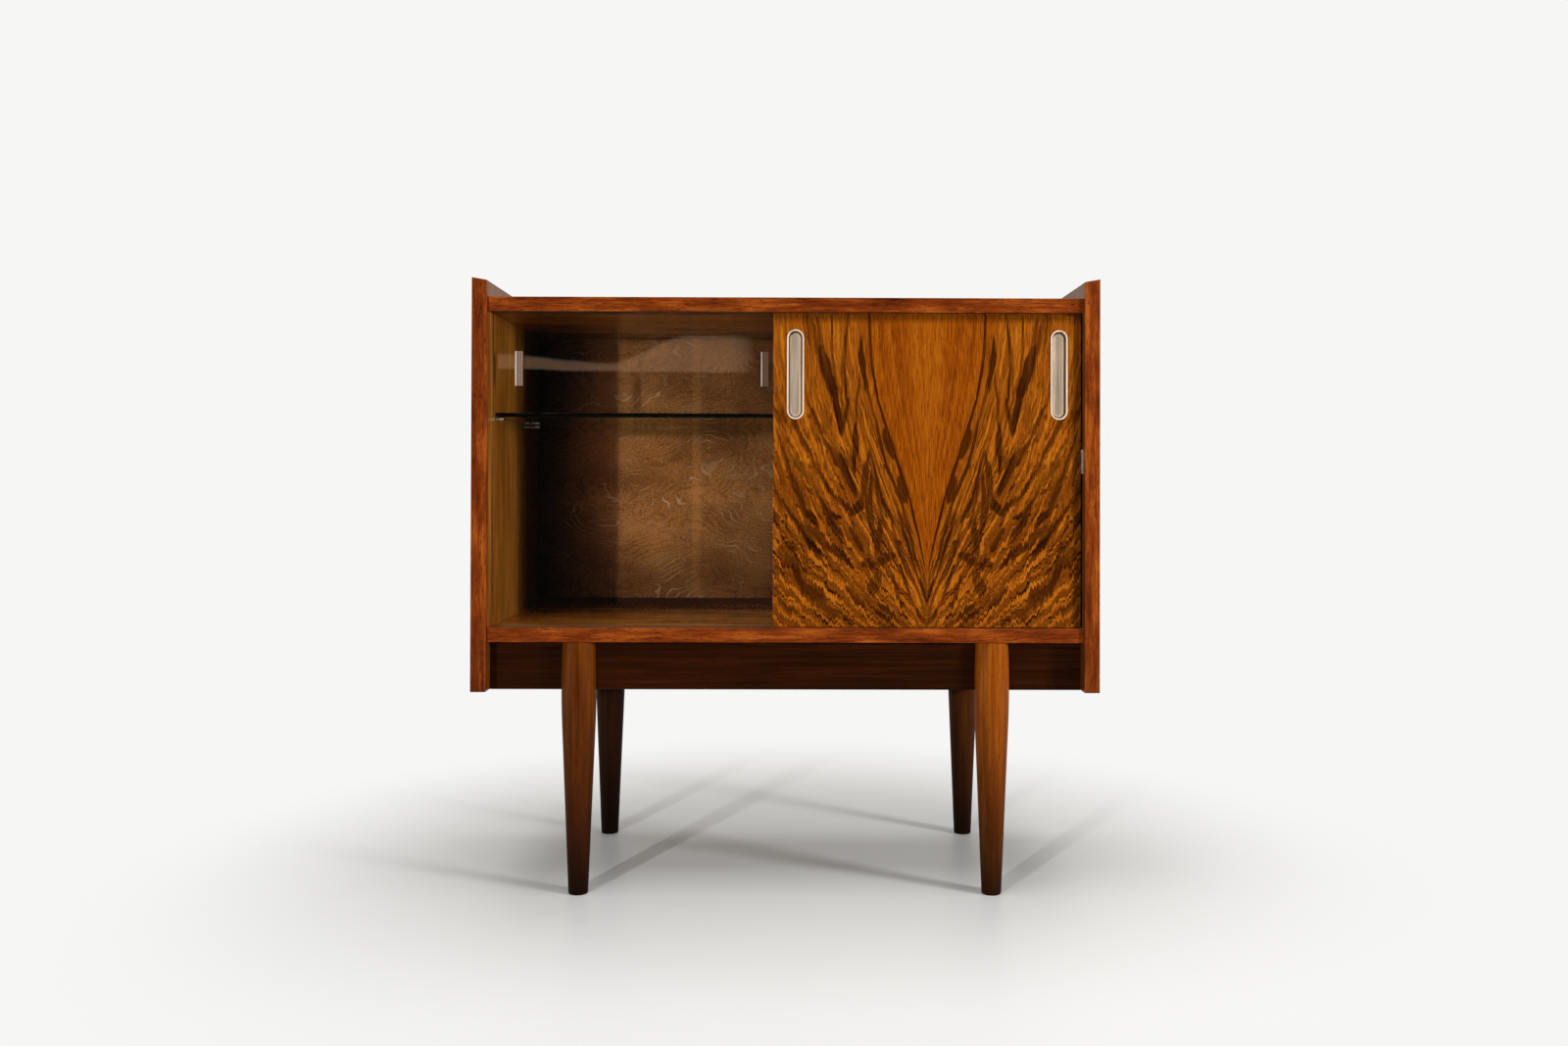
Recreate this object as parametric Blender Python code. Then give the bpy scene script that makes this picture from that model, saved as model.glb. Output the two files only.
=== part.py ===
"""Mini bar cabinet on four turned legs.

A veneered carcass with solid front edges stands on two aprons and four lapped legs.
A wooden door slides in the front channels and a glass door in the ones behind it.
A glass shelf lies on four pins inside.

Axes: X to the right, Y to the back, Z up. The origin is on the floor, under the
middle of the cabinet. Lengths are in metres. A setback is measured from the side
panels' front edges towards the back.
"""
import math

import bmesh
import bpy
from mathutils import Matrix, Vector

# Overall size
WIDTH = 0.820
DEPTH = 0.360
HEIGHT = 0.808

# Air between faces that touch on the real cabinet
SEAT_GAP = 0.0003

# Side panels, flush with the aprons at the foot: each top edge falls a little inwards
SIDE_THICKNESS = 0.020
SIDE_TOP_FALL = 0.0035
SIDE_LIPPING = 0.008

# Top and bottom boards between the side panels
BOARD_THICKNESS = 0.019
BOARD_SETBACK = 0.005
BOARD_LIPPING = 0.008
TOP_SINK = 0.0245
OPENING_HEIGHT = 0.413
EDGE_EASE = 0.0008

# Plywood back in rebates of the side panels
BACK_THICKNESS = 0.004
BACK_INSET = 0.004
BACK_REBATE = 0.008
BACK_TOP_DROP = 0.001

# Dowels: three in each joint of a board, one in each apron end
DOWEL_DIAMETER = 0.008
DOWEL_IN_SIDE = 0.012
DOWEL_IN_BOARD = 0.022
DOWEL_CHAMFER = 0.001
DOWEL_FRONT_SETBACK = 0.070
DOWEL_BACK_MARGIN = 0.055
DOWELS_PER_JOINT = 3

# Aprons, one behind each pair of legs
APRON_HEIGHT = 0.0645
APRON_THICKNESS = 0.018
APRON_SETBACK = 0.026

# Legs: a straight taper to the shoulder, then a soft swell that is widest at the belly
LEG_END_INSET = 0.1375
LEG_SETBACK = 0.027
LEG_FOOT_DIAMETER = 0.0258
LEG_FOOT_ROUND = 0.0016
LEG_SHOULDER_DIAMETER = 0.0438
LEG_SHOULDER_DROP = 0.047
LEG_BELLY_RISE = 0.051

# Countersunk wood screws, two through the apron into each leg
SCREW_DIAMETER = 0.005
SCREW_HEAD_DIAMETER = 0.0095
SCREW_HEAD_HEIGHT = 0.0028
SCREW_LENGTH = 0.034
SCREW_TIP_LENGTH = 0.005
SCREW_TIP_DIAMETER = 0.0012
SCREW_END_MARGIN = 0.018

# Channels that guide the doors, let into both boards
CHANNEL_WALL = 0.0012
CHANNEL_SLACK = 0.0004
BOTTOM_GROOVE = 0.003
TOP_GROOVE = 0.008
TOP_ENGAGEMENT = 0.0045

# Wooden door with a tongue along its head and foot; it reaches over the opening's middle
DOOR_OVERLAP = 0.014
DOOR_THICKNESS = 0.016
DOOR_TONGUE = 0.006
DOOR_FOOT_GAP = 0.0008
DOOR_HEAD_GAP = 0.0032
DOOR_EASE = 0.0006

# Recessed finger pulls of the wooden door
PULL_WIDTH = 0.0225
PULL_LENGTH = 0.118
PULL_RIM = 0.003
PULL_RIM_RISE = 0.0013
PULL_DEPTH = 0.008
PULL_WALL = 0.0009
PULL_FILLET = 0.0026
PULL_SIDE_INSET = 0.029
PULL_TOP_INSET = 0.078

# Glass door with two glued strips as grips; it reaches over the opening's middle too
GLASS_DOOR_OVERLAP = 0.005
GLASS_THICKNESS = 0.004
GLASS_DOOR_STANDOFF = 0.001
GLASS_EASE = 0.0005
GRIP_WIDTH = 0.0095
GRIP_LENGTH = 0.046
GRIP_THICKNESS = 0.004
GRIP_SIDE_INSET = 0.035
GRIP_TOP_INSET = 0.070
GRIP_CLEARANCE = 0.0017

# Buffer on the right side panel, where the wooden door stops
BUFFER_THICKNESS = 0.0025
BUFFER_WIDTH = 0.010
BUFFER_LENGTH = 0.032
BUFFER_RISE = 0.2185
BUFFER_EASE = 0.0006

# Glass shelf on four pins
SHELF_THICKNESS = 0.006
SHELF_DEPTH = 0.276
SHELF_SETBACK = 0.044
SHELF_DROP = 0.131
SHELF_SIDE_GAP = 0.0005
PIN_DIAMETER = 0.005
PIN_IN_SIDE = 0.009
PIN_REACH = 0.011
PIN_COLLAR_DIAMETER = 0.0075
PIN_COLLAR_THICKNESS = 0.0012
PIN_INSET = 0.012

# Sides and steps of the round shapes
LEG_SIDES = 32
PIN_SIDES = 16
DOWEL_SIDES = 12
PULL_ARC_STEPS = 9
PULL_RIM_STEPS = 6
PULL_FILLET_STEPS = 3
EASE_STEPS = 2
LEG_SWELL_STEPS = 7
SHARP_ANGLE = math.radians(35)
CUT_MARGIN = 0.002

# Planes that several pieces share
INNER_X = WIDTH / 2 - SIDE_THICKNESS
TOP_FACE = HEIGHT - TOP_SINK
TOP_UNDERSIDE = TOP_FACE - BOARD_THICKNESS
BOTTOM_FACE = TOP_UNDERSIDE - OPENING_HEIGHT
BOTTOM_UNDERSIDE = BOTTOM_FACE - BOARD_THICKNESS
SIDE_BOTTOM = BOTTOM_UNDERSIDE - APRON_HEIGHT
BACK_FACE = DEPTH - BACK_INSET - BACK_THICKNESS
BOARD_CORE = BOARD_SETBACK + BOARD_LIPPING + SEAT_GAP
TONGUE_MIDDLE = BOARD_CORE + CHANNEL_WALL + CHANNEL_SLACK + DOOR_TONGUE / 2
DOOR_FACE = TONGUE_MIDDLE - DOOR_THICKNESS / 2
GLASS_FACE = DOOR_FACE + DOOR_THICKNESS + GRIP_CLEARANCE + GRIP_THICKNESS + SEAT_GAP
LEAF_BOTTOM = BOTTOM_FACE - BOTTOM_GROOVE + SEAT_GAP
LEAF_TOP = TOP_UNDERSIDE + TOP_ENGAGEMENT
DOOR_TOP = TOP_UNDERSIDE - DOOR_HEAD_GAP
DOOR_RIGHT = INNER_X - BUFFER_THICKNESS - 2 * SEAT_GAP
DOOR_LEFT = DOOR_RIGHT - INNER_X - DOOR_OVERLAP
GLASS_LEFT = GLASS_DOOR_STANDOFF - INNER_X
GLASS_DOOR_WIDTH = INNER_X + GLASS_DOOR_OVERLAP
SHELF_TOP = TOP_UNDERSIDE - SHELF_DROP
LEG_LENGTH = BOTTOM_UNDERSIDE - SEAT_GAP
LEG_X = WIDTH / 2 - LEG_END_INSET
LEG_SHOULDER_HEIGHT = SIDE_BOTTOM - LEG_SHOULDER_DROP


def behind_front(setback):
    """World Y of a plane that lies setback behind the side panels' front edges."""
    return setback - DEPTH / 2


def clear_scene():
    """Take every object out of the open scene."""
    for obj in list(bpy.data.objects):
        bpy.data.objects.remove(obj, do_unlink=True)


def linear_colour(hex_colour):
    """Turn a colour such as #7b3f1d into linear red, green, blue and alpha."""
    channels = [int(hex_colour[i:i + 2], 16) / 255 for i in (1, 3, 5)]
    return [c / 12.92 if c <= 0.04045 else ((c + 0.055) / 1.055) ** 2.4 for c in channels] + [1.0]


def make_finish(name, hex_colour, roughness, metallic=0.0, transmission=0.0):
    """Make a Principled material from a colour and its gloss."""
    finish = bpy.data.materials.new(name)
    finish.use_nodes = True
    shader = finish.node_tree.nodes["Principled BSDF"]
    shader.inputs["Base Color"].default_value = linear_colour(hex_colour)
    shader.inputs["Roughness"].default_value = roughness
    shader.inputs["Metallic"].default_value = metallic
    shader.inputs["Transmission Weight"].default_value = transmission
    finish.diffuse_color = shader.inputs["Base Color"].default_value
    return finish


def make_finishes():
    """Make one material for each kind of piece."""
    return {
        "side_veneer": make_finish("side_veneer", "#7b4320", 0.32),
        "lipping": make_finish("lipping", "#7d3a1c", 0.28),
        "board_veneer": make_finish("board_veneer", "#8a5a2a", 0.38),
        "door_veneer": make_finish("door_veneer", "#a8601f", 0.22),
        "plywood": make_finish("plywood", "#7d5334", 0.62),
        "apron": make_finish("apron", "#4a2412", 0.35),
        "leg": make_finish("leg", "#6f3616", 0.30),
        "dowel": make_finish("dowel", "#c9a46c", 0.75),
        "channel": make_finish("channel", "#2a1a10", 0.45),
        "pull": make_finish("pull", "#d6d4cf", 0.22, metallic=1.0),
        "pin": make_finish("pin", "#c4c1b8", 0.30, metallic=1.0),
        "screw": make_finish("screw", "#8d8a84", 0.40, metallic=1.0),
        "glass": make_finish("glass", "#dfeee6", 0.03, transmission=1.0),
        "buffer": make_finish("buffer", "#c9c4ba", 0.40),
    }


def add_box(bm, low, high):
    """Add a box between two opposite corners."""
    low, high = Vector(low), Vector(high)
    size = high - low
    place = Matrix.Translation((low + high) / 2) @ Matrix.Diagonal((size.x, size.y, size.z, 1))
    bmesh.ops.create_cube(bm, size=1, matrix=place)


def add_loft(bm, rings):
    """Skin a run of closed rings and close the two end rings with flat caps."""
    loops = [[bm.verts.new(point) for point in ring] for ring in rings]
    for lower, upper in zip(loops, loops[1:]):
        for i, j in zip(range(len(lower)), [*range(1, len(lower)), 0]):
            bm.faces.new((lower[i], lower[j], upper[j], upper[i]))
    bm.faces.new(loops[0][::-1])
    bm.faces.new(loops[-1])


def add_turned(bm, profile, foot, direction, sides):
    """Add a turned shape: profile holds a radius and a distance along direction from foot."""
    place = Matrix.Translation(foot) @ Vector(direction).to_track_quat("Z", "Y").to_matrix().to_4x4()
    angles = [2 * math.pi * k / sides for k in range(sides)]
    rings = [[place @ Vector((radius * math.cos(a), radius * math.sin(a), reach)) for a in angles]
             for radius, reach in profile]
    add_loft(bm, rings)


def add_prism(bm, outline, along, start, end):
    """Add an outline of points, given on the two other axes, extruded along axis X or Y."""
    def place(point, reach):
        return (reach, *point) if along == "X" else (point[0], reach, point[1])

    add_loft(bm, [[place(point, start) for point in outline], [place(point, end) for point in outline]])


def lies_at(edge, axis, position):
    """Say whether an edge lies in the plane at position on axis 0, 1 or 2."""
    return all(abs(vert.co[axis] - position) < 1e-6 for vert in edge.verts)


def ease_edges(bm, width, chosen):
    """Round the edges that chosen picks, as sanding does."""
    bmesh.ops.recalc_face_normals(bm, faces=bm.faces)
    edges = [edge for edge in bm.edges if chosen(edge)]
    bmesh.ops.bevel(bm, geom=edges, offset=width, segments=EASE_STEPS, profile=0.5, affect="EDGES")


def place_object(name, bm, finish, origin=None, smooth=False):
    """Make an object of a bmesh that was built in world space, with its origin at a given point."""
    bmesh.ops.recalc_face_normals(bm, faces=bm.faces)
    if origin is None:
        corners = [[pick(vert.co[axis] for vert in bm.verts) for axis in range(3)] for pick in (min, max)]
        origin = (Vector(corners[0]) + Vector(corners[1])) / 2
    bmesh.ops.translate(bm, verts=bm.verts, vec=-Vector(origin))
    mesh = bpy.data.meshes.new(name)
    bm.to_mesh(mesh)
    bm.free()
    if finish is not None:
        mesh.materials.append(finish)
    if smooth:
        mesh.shade_smooth()
        mesh.set_sharp_from_angle(angle=SHARP_ANGLE)
    obj = bpy.data.objects.new(name, mesh)
    obj.location = origin
    bpy.context.scene.collection.objects.link(obj)
    return obj


def cut(target, name, bm):
    """Cut a bmesh out of an object with a Boolean modifier and a hidden cutter."""
    cutter = place_object(name, bm, None)
    cutter.hide_render = True
    cutter.display_type = "WIRE"
    cutter.parent = target
    cutter.location = cutter.location - target.location
    modifier = target.modifiers.new(name, "BOOLEAN")
    modifier.operation = "DIFFERENCE"
    modifier.solver = "EXACT"
    modifier.object = cutter


def slide_parent(name, origin, *children):
    """Parent objects to an empty at a slide's own place, without moving them."""
    empty = bpy.data.objects.new(name, None)
    empty.location = origin
    bpy.context.scene.collection.objects.link(empty)
    for child in children:
        child.parent = empty
        child.location = child.location - empty.location


def dowel_setbacks():
    """Setbacks of the dowels in each joint of a board."""
    first = DOWEL_FRONT_SETBACK
    last = DEPTH - DOWEL_BACK_MARGIN
    step = (last - first) / (DOWELS_PER_JOINT - 1)
    return [first + step * i for i in range(DOWELS_PER_JOINT)]


def joint_points():
    """Name, depth and height of every dowel, with the depth as world Y."""
    points = []
    for board, height in (("top", TOP_FACE - BOARD_THICKNESS / 2),
                          ("bottom", BOTTOM_FACE - BOARD_THICKNESS / 2)):
        for number, setback in enumerate(dowel_setbacks(), start=1):
            points.append((f"{board}_{number}", behind_front(setback), height))
    apron_height = (SIDE_BOTTOM + BOTTOM_UNDERSIDE) / 2
    for board, end in (("apron_front", -1), ("apron_back", 1)):
        points.append((board, end * apron_middle(), apron_height))
    return points


def apron_middle():
    """Distance of an apron's middle plane from the cabinet's middle."""
    return DEPTH / 2 - APRON_SETBACK - APRON_THICKNESS / 2


def add_dowel_holes(bm, side, kept):
    """Add the bores for one side's dowels whose names kept accepts."""
    radius = DOWEL_DIAMETER / 2 + SEAT_GAP
    profile = [(radius, 0), (radius, DOWEL_IN_SIDE + DOWEL_IN_BOARD + 2 * SEAT_GAP)]
    start = side * (INNER_X - DOWEL_IN_BOARD - SEAT_GAP)
    for name, y, z in joint_points():
        if kept(name):
            add_turned(bm, profile, (start, y, z), (side, 0, 0), DOWEL_SIDES)


def build_dowels(finish):
    """Turned dowels with chamfered ends, half in a side panel and half in a board or apron."""
    radius = DOWEL_DIAMETER / 2
    length = DOWEL_IN_SIDE + DOWEL_IN_BOARD
    profile = [(radius - DOWEL_CHAMFER, 0), (radius, DOWEL_CHAMFER),
               (radius, length - DOWEL_CHAMFER), (radius - DOWEL_CHAMFER, length)]
    for side, hand in ((-1, "left"), (1, "right")):
        for name, y, z in joint_points():
            bm = bmesh.new()
            add_turned(bm, profile, (side * (INNER_X - DOWEL_IN_BOARD), y, z), (side, 0, 0), DOWEL_SIDES)
            place_object(f"dowel_{name}_{hand}", bm, finish, smooth=True)


def side_outline(side):
    """Outline of a side panel as X and Z, with its top edge falling inwards."""
    outer, inner = side * WIDTH / 2, side * INNER_X
    return [(inner, SIDE_BOTTOM), (outer, SIDE_BOTTOM), (outer, HEIGHT), (inner, HEIGHT - SIDE_TOP_FALL)]


def pin_points():
    """World Y and Z of the shelf pins' axes."""
    height = SHELF_TOP - SHELF_THICKNESS - SEAT_GAP - PIN_DIAMETER / 2
    setbacks = (SHELF_SETBACK + PIN_INSET, SHELF_SETBACK + SHELF_DEPTH - PIN_INSET)
    return [(behind_front(setback), height) for setback in setbacks]


def build_side(side, hand, finishes):
    """One side panel with its solid front edge, rebate for the back, and bores."""
    joint = behind_front(SIDE_LIPPING)
    core_start = joint + SEAT_GAP

    bm = bmesh.new()
    add_prism(bm, side_outline(side), "Y", behind_front(0), joint)
    ease_edges(bm, EDGE_EASE, lambda edge: not lies_at(edge, 1, joint))
    place_object(f"side_lipping_{hand}", bm, finishes["lipping"])

    bm = bmesh.new()
    add_prism(bm, side_outline(side), "Y", core_start, behind_front(DEPTH))
    ease_edges(bm, EDGE_EASE, lambda edge: not lies_at(edge, 1, core_start))
    panel = place_object(f"side_panel_{hand}", bm, finishes["side_veneer"])

    bm = bmesh.new()
    add_dowel_holes(bm, side, lambda name: True)
    pin_radius = PIN_DIAMETER / 2 + SEAT_GAP
    for y, z in pin_points():
        profile = [(pin_radius, -CUT_MARGIN), (pin_radius, PIN_IN_SIDE + SEAT_GAP)]
        add_turned(bm, profile, (side * INNER_X, y, z), (side, 0, 0), PIN_SIDES)
    ends = sorted((side * (INNER_X - CUT_MARGIN), side * (INNER_X + BACK_REBATE)))
    add_box(bm, (ends[0], behind_front(BACK_FACE) - SEAT_GAP, back_bottom() - SEAT_GAP),
            (ends[1], behind_front(DEPTH) + CUT_MARGIN, back_top() + SEAT_GAP))
    cut(panel, f"cutter_side_{hand}", bm)


def back_top():
    """Height of the back panel's upper edge."""
    return TOP_FACE - BACK_TOP_DROP


def back_bottom():
    """Height of the back panel's lower edge."""
    return BOTTOM_UNDERSIDE + BACK_TOP_DROP


def channel_setbacks():
    """Setback where each channel starts, with the width of its groove."""
    return {"door": (BOARD_CORE, DOOR_TONGUE + 2 * CHANNEL_SLACK),
            "glass": (GLASS_FACE - CHANNEL_SLACK - CHANNEL_WALL, GLASS_THICKNESS + 2 * CHANNEL_SLACK)}


def build_channels(board, mouth, into, depth, finish):
    """The two channels of a board, open at mouth, with their grooves running into the board."""
    ends = INNER_X - SEAT_GAP
    for leaf, (setback, groove) in channel_setbacks().items():
        start = behind_front(setback)
        inside, outside = start + CHANNEL_WALL, start + 2 * CHANNEL_WALL + groove
        floor, bottom = mouth + into * depth, mouth + into * (depth + CHANNEL_WALL)
        outline = [(start, mouth), (start, bottom), (outside, bottom), (outside, mouth),
                   (outside - CHANNEL_WALL, mouth), (outside - CHANNEL_WALL, floor),
                   (inside, floor), (inside, mouth)]
        bm = bmesh.new()
        add_prism(bm, outline, "X", -ends, ends)
        place_object(f"{leaf}_track_{board}", bm, finish)


def build_board(board, face_low, mouth, into, depth, finishes):
    """The top or bottom board: veneered core, solid front edge, and slots for the channels."""
    ends = INNER_X - SEAT_GAP
    face_high = face_low + BOARD_THICKNESS
    joint = behind_front(BOARD_SETBACK + BOARD_LIPPING)

    bm = bmesh.new()
    add_box(bm, (-ends, behind_front(BOARD_SETBACK), face_low), (ends, joint, face_high))
    front_edge = behind_front(BOARD_SETBACK)
    ease_edges(bm, EDGE_EASE, lambda edge: lies_at(edge, 1, front_edge)
               and not lies_at(edge, 0, -ends) and not lies_at(edge, 0, ends))
    place_object(f"{board}_lipping", bm, finishes["lipping"])

    bm = bmesh.new()
    core_back = behind_front(BACK_FACE) - SEAT_GAP
    add_box(bm, (-ends, behind_front(BOARD_CORE), face_low), (ends, core_back, face_high))
    core = place_object(f"{board}_panel", bm, finishes["board_veneer"])

    bm = bmesh.new()
    for side in (-1, 1):
        add_dowel_holes(bm, side, lambda name: name.startswith(board))
    slot_floor = mouth + into * (depth + CHANNEL_WALL + SEAT_GAP)
    low, high = sorted((slot_floor, mouth - into * CUT_MARGIN))
    for setback, groove in channel_setbacks().values():
        slot_start = behind_front(setback) - (CUT_MARGIN if setback == BOARD_CORE else SEAT_GAP)
        slot_end = behind_front(setback) + groove + 2 * CHANNEL_WALL + SEAT_GAP
        add_box(bm, (-ends - CUT_MARGIN, slot_start, low), (ends + CUT_MARGIN, slot_end, high))
    cut(core, f"cutter_{board}", bm)
    build_channels(board, mouth, into, depth, finishes["channel"])


def build_back(finish):
    """Thin plywood back behind both boards, in the side panels' rebates."""
    reach = INNER_X + BACK_REBATE - SEAT_GAP
    bm = bmesh.new()
    add_box(bm, (-reach, behind_front(BACK_FACE), back_bottom()),
            (reach, behind_front(BACK_FACE + BACK_THICKNESS), back_top()))
    place_object("back_panel", bm, finish)


def screw_heights():
    """Heights of the two screws of each leg."""
    return (SIDE_BOTTOM + SCREW_END_MARGIN, BOTTOM_UNDERSIDE - SCREW_END_MARGIN)


def screw_head_y(end):
    """World Y of the screw heads, which lie flush in the apron's inner face."""
    return end * (DEPTH / 2 - APRON_SETBACK - APRON_THICKNESS)


def add_screw_holes(bm, side, end):
    """Add the countersunk bores for the two screws of one leg."""
    head = SCREW_HEAD_DIAMETER / 2 + SEAT_GAP
    shank = SCREW_DIAMETER / 2 + SEAT_GAP
    profile = [(head, -CUT_MARGIN), (head, 0), (shank, SCREW_HEAD_HEIGHT), (shank, SCREW_LENGTH + SEAT_GAP)]
    for height in screw_heights():
        foot = (side * LEG_X, screw_head_y(end), height)
        add_turned(bm, profile, foot, (0, end, 0), PIN_SIDES)


def build_screws(side, end, place, finish):
    """Two countersunk wood screws through the apron into one leg."""
    head, shank = SCREW_HEAD_DIAMETER / 2, SCREW_DIAMETER / 2
    profile = [(head, 0), (shank, SCREW_HEAD_HEIGHT), (shank, SCREW_LENGTH - SCREW_TIP_LENGTH),
               (SCREW_TIP_DIAMETER / 2, SCREW_LENGTH)]
    for row, height in zip(("lower", "upper"), screw_heights()):
        bm = bmesh.new()
        foot = (side * LEG_X, screw_head_y(end), height)
        add_turned(bm, profile, foot, (0, end, 0), PIN_SIDES)
        place_object(f"leg_screw_{place}_{row}", bm, finish, smooth=True)


def build_apron(place, end, finish):
    """An apron between the side panels, with bores for its dowels and the leg screws."""
    ends = INNER_X - SEAT_GAP
    middle, half = end * apron_middle(), APRON_THICKNESS / 2
    bm = bmesh.new()
    add_box(bm, (-ends, middle - half, SIDE_BOTTOM), (ends, middle + half, BOTTOM_UNDERSIDE - SEAT_GAP))
    ease_edges(bm, EDGE_EASE, lambda edge: lies_at(edge, 2, SIDE_BOTTOM)
               and not lies_at(edge, 0, -ends) and not lies_at(edge, 0, ends))
    apron = place_object(f"apron_{place}", bm, finish)

    bm = bmesh.new()
    for side in (-1, 1):
        add_dowel_holes(bm, side, lambda name: name == f"apron_{place}")
        add_screw_holes(bm, side, end)
    cut(apron, f"cutter_apron_{place}", bm)


def leg_radius(height):
    """Radius of a leg at a height above the floor."""
    taper = (LEG_SHOULDER_DIAMETER - LEG_FOOT_DIAMETER) / LEG_SHOULDER_HEIGHT
    above = max(0.0, height - LEG_SHOULDER_HEIGHT)
    swell = taper * above * above / (2 * LEG_BELLY_RISE)
    return (LEG_FOOT_DIAMETER + taper * height - swell) / 2


def leg_profile():
    """Radius and height of a leg's rings, from its rounded foot to its top."""
    foot = leg_radius(LEG_FOOT_ROUND)
    profile = []
    for step in range(EASE_STEPS + 1):
        turn = math.pi / 2 * step / EASE_STEPS
        profile.append((foot - LEG_FOOT_ROUND * (1 - math.sin(turn)), LEG_FOOT_ROUND * (1 - math.cos(turn))))
    rise = LEG_LENGTH - LEG_SHOULDER_HEIGHT
    heights = [LEG_SHOULDER_HEIGHT + rise * i / LEG_SWELL_STEPS for i in range(LEG_SWELL_STEPS + 1)]
    return profile + [(leg_radius(height), height) for height in heights]


def build_leg(side, hand, end, place, finishes):
    """A turned leg, lapped over the apron's outer face, with its two screws."""
    axis_x, axis_y = side * LEG_X, end * (DEPTH / 2 - LEG_SETBACK)
    bm = bmesh.new()
    add_turned(bm, leg_profile(), (axis_x, axis_y, 0), (0, 0, 1), LEG_SIDES)
    leg = place_object(f"leg_{place}_{hand}", bm, finishes["leg"], smooth=True)

    reach = LEG_SHOULDER_DIAMETER
    lap = end * (DEPTH / 2 - APRON_SETBACK + SEAT_GAP)
    planes = sorted((lap, lap - end * 2 * reach))
    bm = bmesh.new()
    add_box(bm, (axis_x - reach, planes[0], SIDE_BOTTOM - SEAT_GAP),
            (axis_x + reach, planes[1], LEG_LENGTH + CUT_MARGIN))
    cut(leg, f"cutter_lap_{place}_{hand}", bm)

    bm = bmesh.new()
    add_screw_holes(bm, side, end)
    cut(leg, f"cutter_bores_{place}_{hand}", bm)
    build_screws(side, end, f"{place}_{hand}", finishes["screw"])


def stadium(radius, straight, centre, y):
    """Points of an upright stadium in the XZ plane at y, straight long between its two ends."""
    points = []
    for sign in (1, -1):
        for step in range(PULL_ARC_STEPS + 1):
            turn = math.pi * step / PULL_ARC_STEPS
            points.append((centre[0] + sign * radius * math.cos(turn), y,
                           centre[1] + sign * (straight / 2 + radius * math.sin(turn))))
    return points


def quarter_turn(first, second):
    """Pairs of weights that turn smoothly from the first point to the second."""
    for step in range(PULL_FILLET_STEPS + 1):
        turn = math.pi / 2 * step / PULL_FILLET_STEPS
        yield first(turn), second(turn)


def pull_profile():
    """Radius and depth of a finger pull's rings, from its outer floor over the rim to its trough."""
    rim_outer = PULL_WIDTH / 2
    trough = rim_outer - PULL_RIM
    body = trough + PULL_WALL
    outer_floor, inner_fillet = PULL_DEPTH + PULL_WALL, PULL_FILLET - PULL_WALL
    rings = [(body - PULL_FILLET * (1 - s), outer_floor - PULL_FILLET * (1 - c))
             for s, c in quarter_turn(math.sin, math.cos)]
    rings += [(body, -SEAT_GAP), (rim_outer, -SEAT_GAP)]
    crest, half_rim = (rim_outer + trough) / 2, PULL_RIM / 2
    for step in range(PULL_RIM_STEPS + 1):
        turn = math.pi * step / PULL_RIM_STEPS
        rings.append((crest + half_rim * math.cos(turn), -2 * SEAT_GAP - PULL_RIM_RISE * math.sin(turn)))
    rings += [(trough - inner_fillet * (1 - c), PULL_DEPTH - inner_fillet * (1 - s))
              for s, c in quarter_turn(math.sin, math.cos)]
    return rings


def build_pull(name, centre, door, finish):
    """A pressed metal cup with a rounded rim, and its pocket in the wooden door."""
    straight = PULL_LENGTH - PULL_WIDTH
    face = behind_front(DOOR_FACE)
    bm = bmesh.new()
    add_loft(bm, [stadium(radius, straight, centre, face + depth) for radius, depth in pull_profile()])
    pull = place_object(name, bm, finish, smooth=True)

    radius = PULL_WIDTH / 2 - PULL_RIM + PULL_WALL + SEAT_GAP
    floor = face + PULL_DEPTH + PULL_WALL + SEAT_GAP
    bm = bmesh.new()
    add_loft(bm, [stadium(radius, straight, centre, y) for y in (face - CUT_MARGIN, floor)])
    cut(door, f"cutter_{name}", bm)
    return pull


def build_wooden_door(finishes):
    """The wooden door, with a tongue at its head and foot and a pull near each side."""
    face, back = behind_front(DOOR_FACE), behind_front(DOOR_FACE + DOOR_THICKNESS)
    tongue = behind_front(TONGUE_MIDDLE) - DOOR_TONGUE / 2, behind_front(TONGUE_MIDDLE) + DOOR_TONGUE / 2
    foot = BOTTOM_FACE + DOOR_FOOT_GAP
    outline = [(face, foot), (tongue[0], foot), (tongue[0], LEAF_BOTTOM), (tongue[1], LEAF_BOTTOM),
               (tongue[1], foot), (back, foot), (back, DOOR_TOP), (tongue[1], DOOR_TOP),
               (tongue[1], LEAF_TOP), (tongue[0], LEAF_TOP), (tongue[0], DOOR_TOP), (face, DOOR_TOP)]
    bm = bmesh.new()
    add_prism(bm, outline, "X", DOOR_LEFT, DOOR_RIGHT)
    ease_edges(bm, DOOR_EASE, lambda edge: lies_at(edge, 1, face) or lies_at(edge, 1, back))
    door = place_object("wooden_door", bm, finishes["door_veneer"])

    height = DOOR_TOP - PULL_TOP_INSET
    pulls = [build_pull(name, (x, height), door, finishes["pull"])
             for name, x in (("door_pull_left", DOOR_LEFT + PULL_SIDE_INSET),
                             ("door_pull_right", DOOR_RIGHT - PULL_SIDE_INSET))]
    origin = Vector(((DOOR_LEFT + DOOR_RIGHT) / 2, behind_front(TONGUE_MIDDLE), LEAF_BOTTOM))
    slide_parent("wooden_door_slide", origin, door, *pulls)


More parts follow.
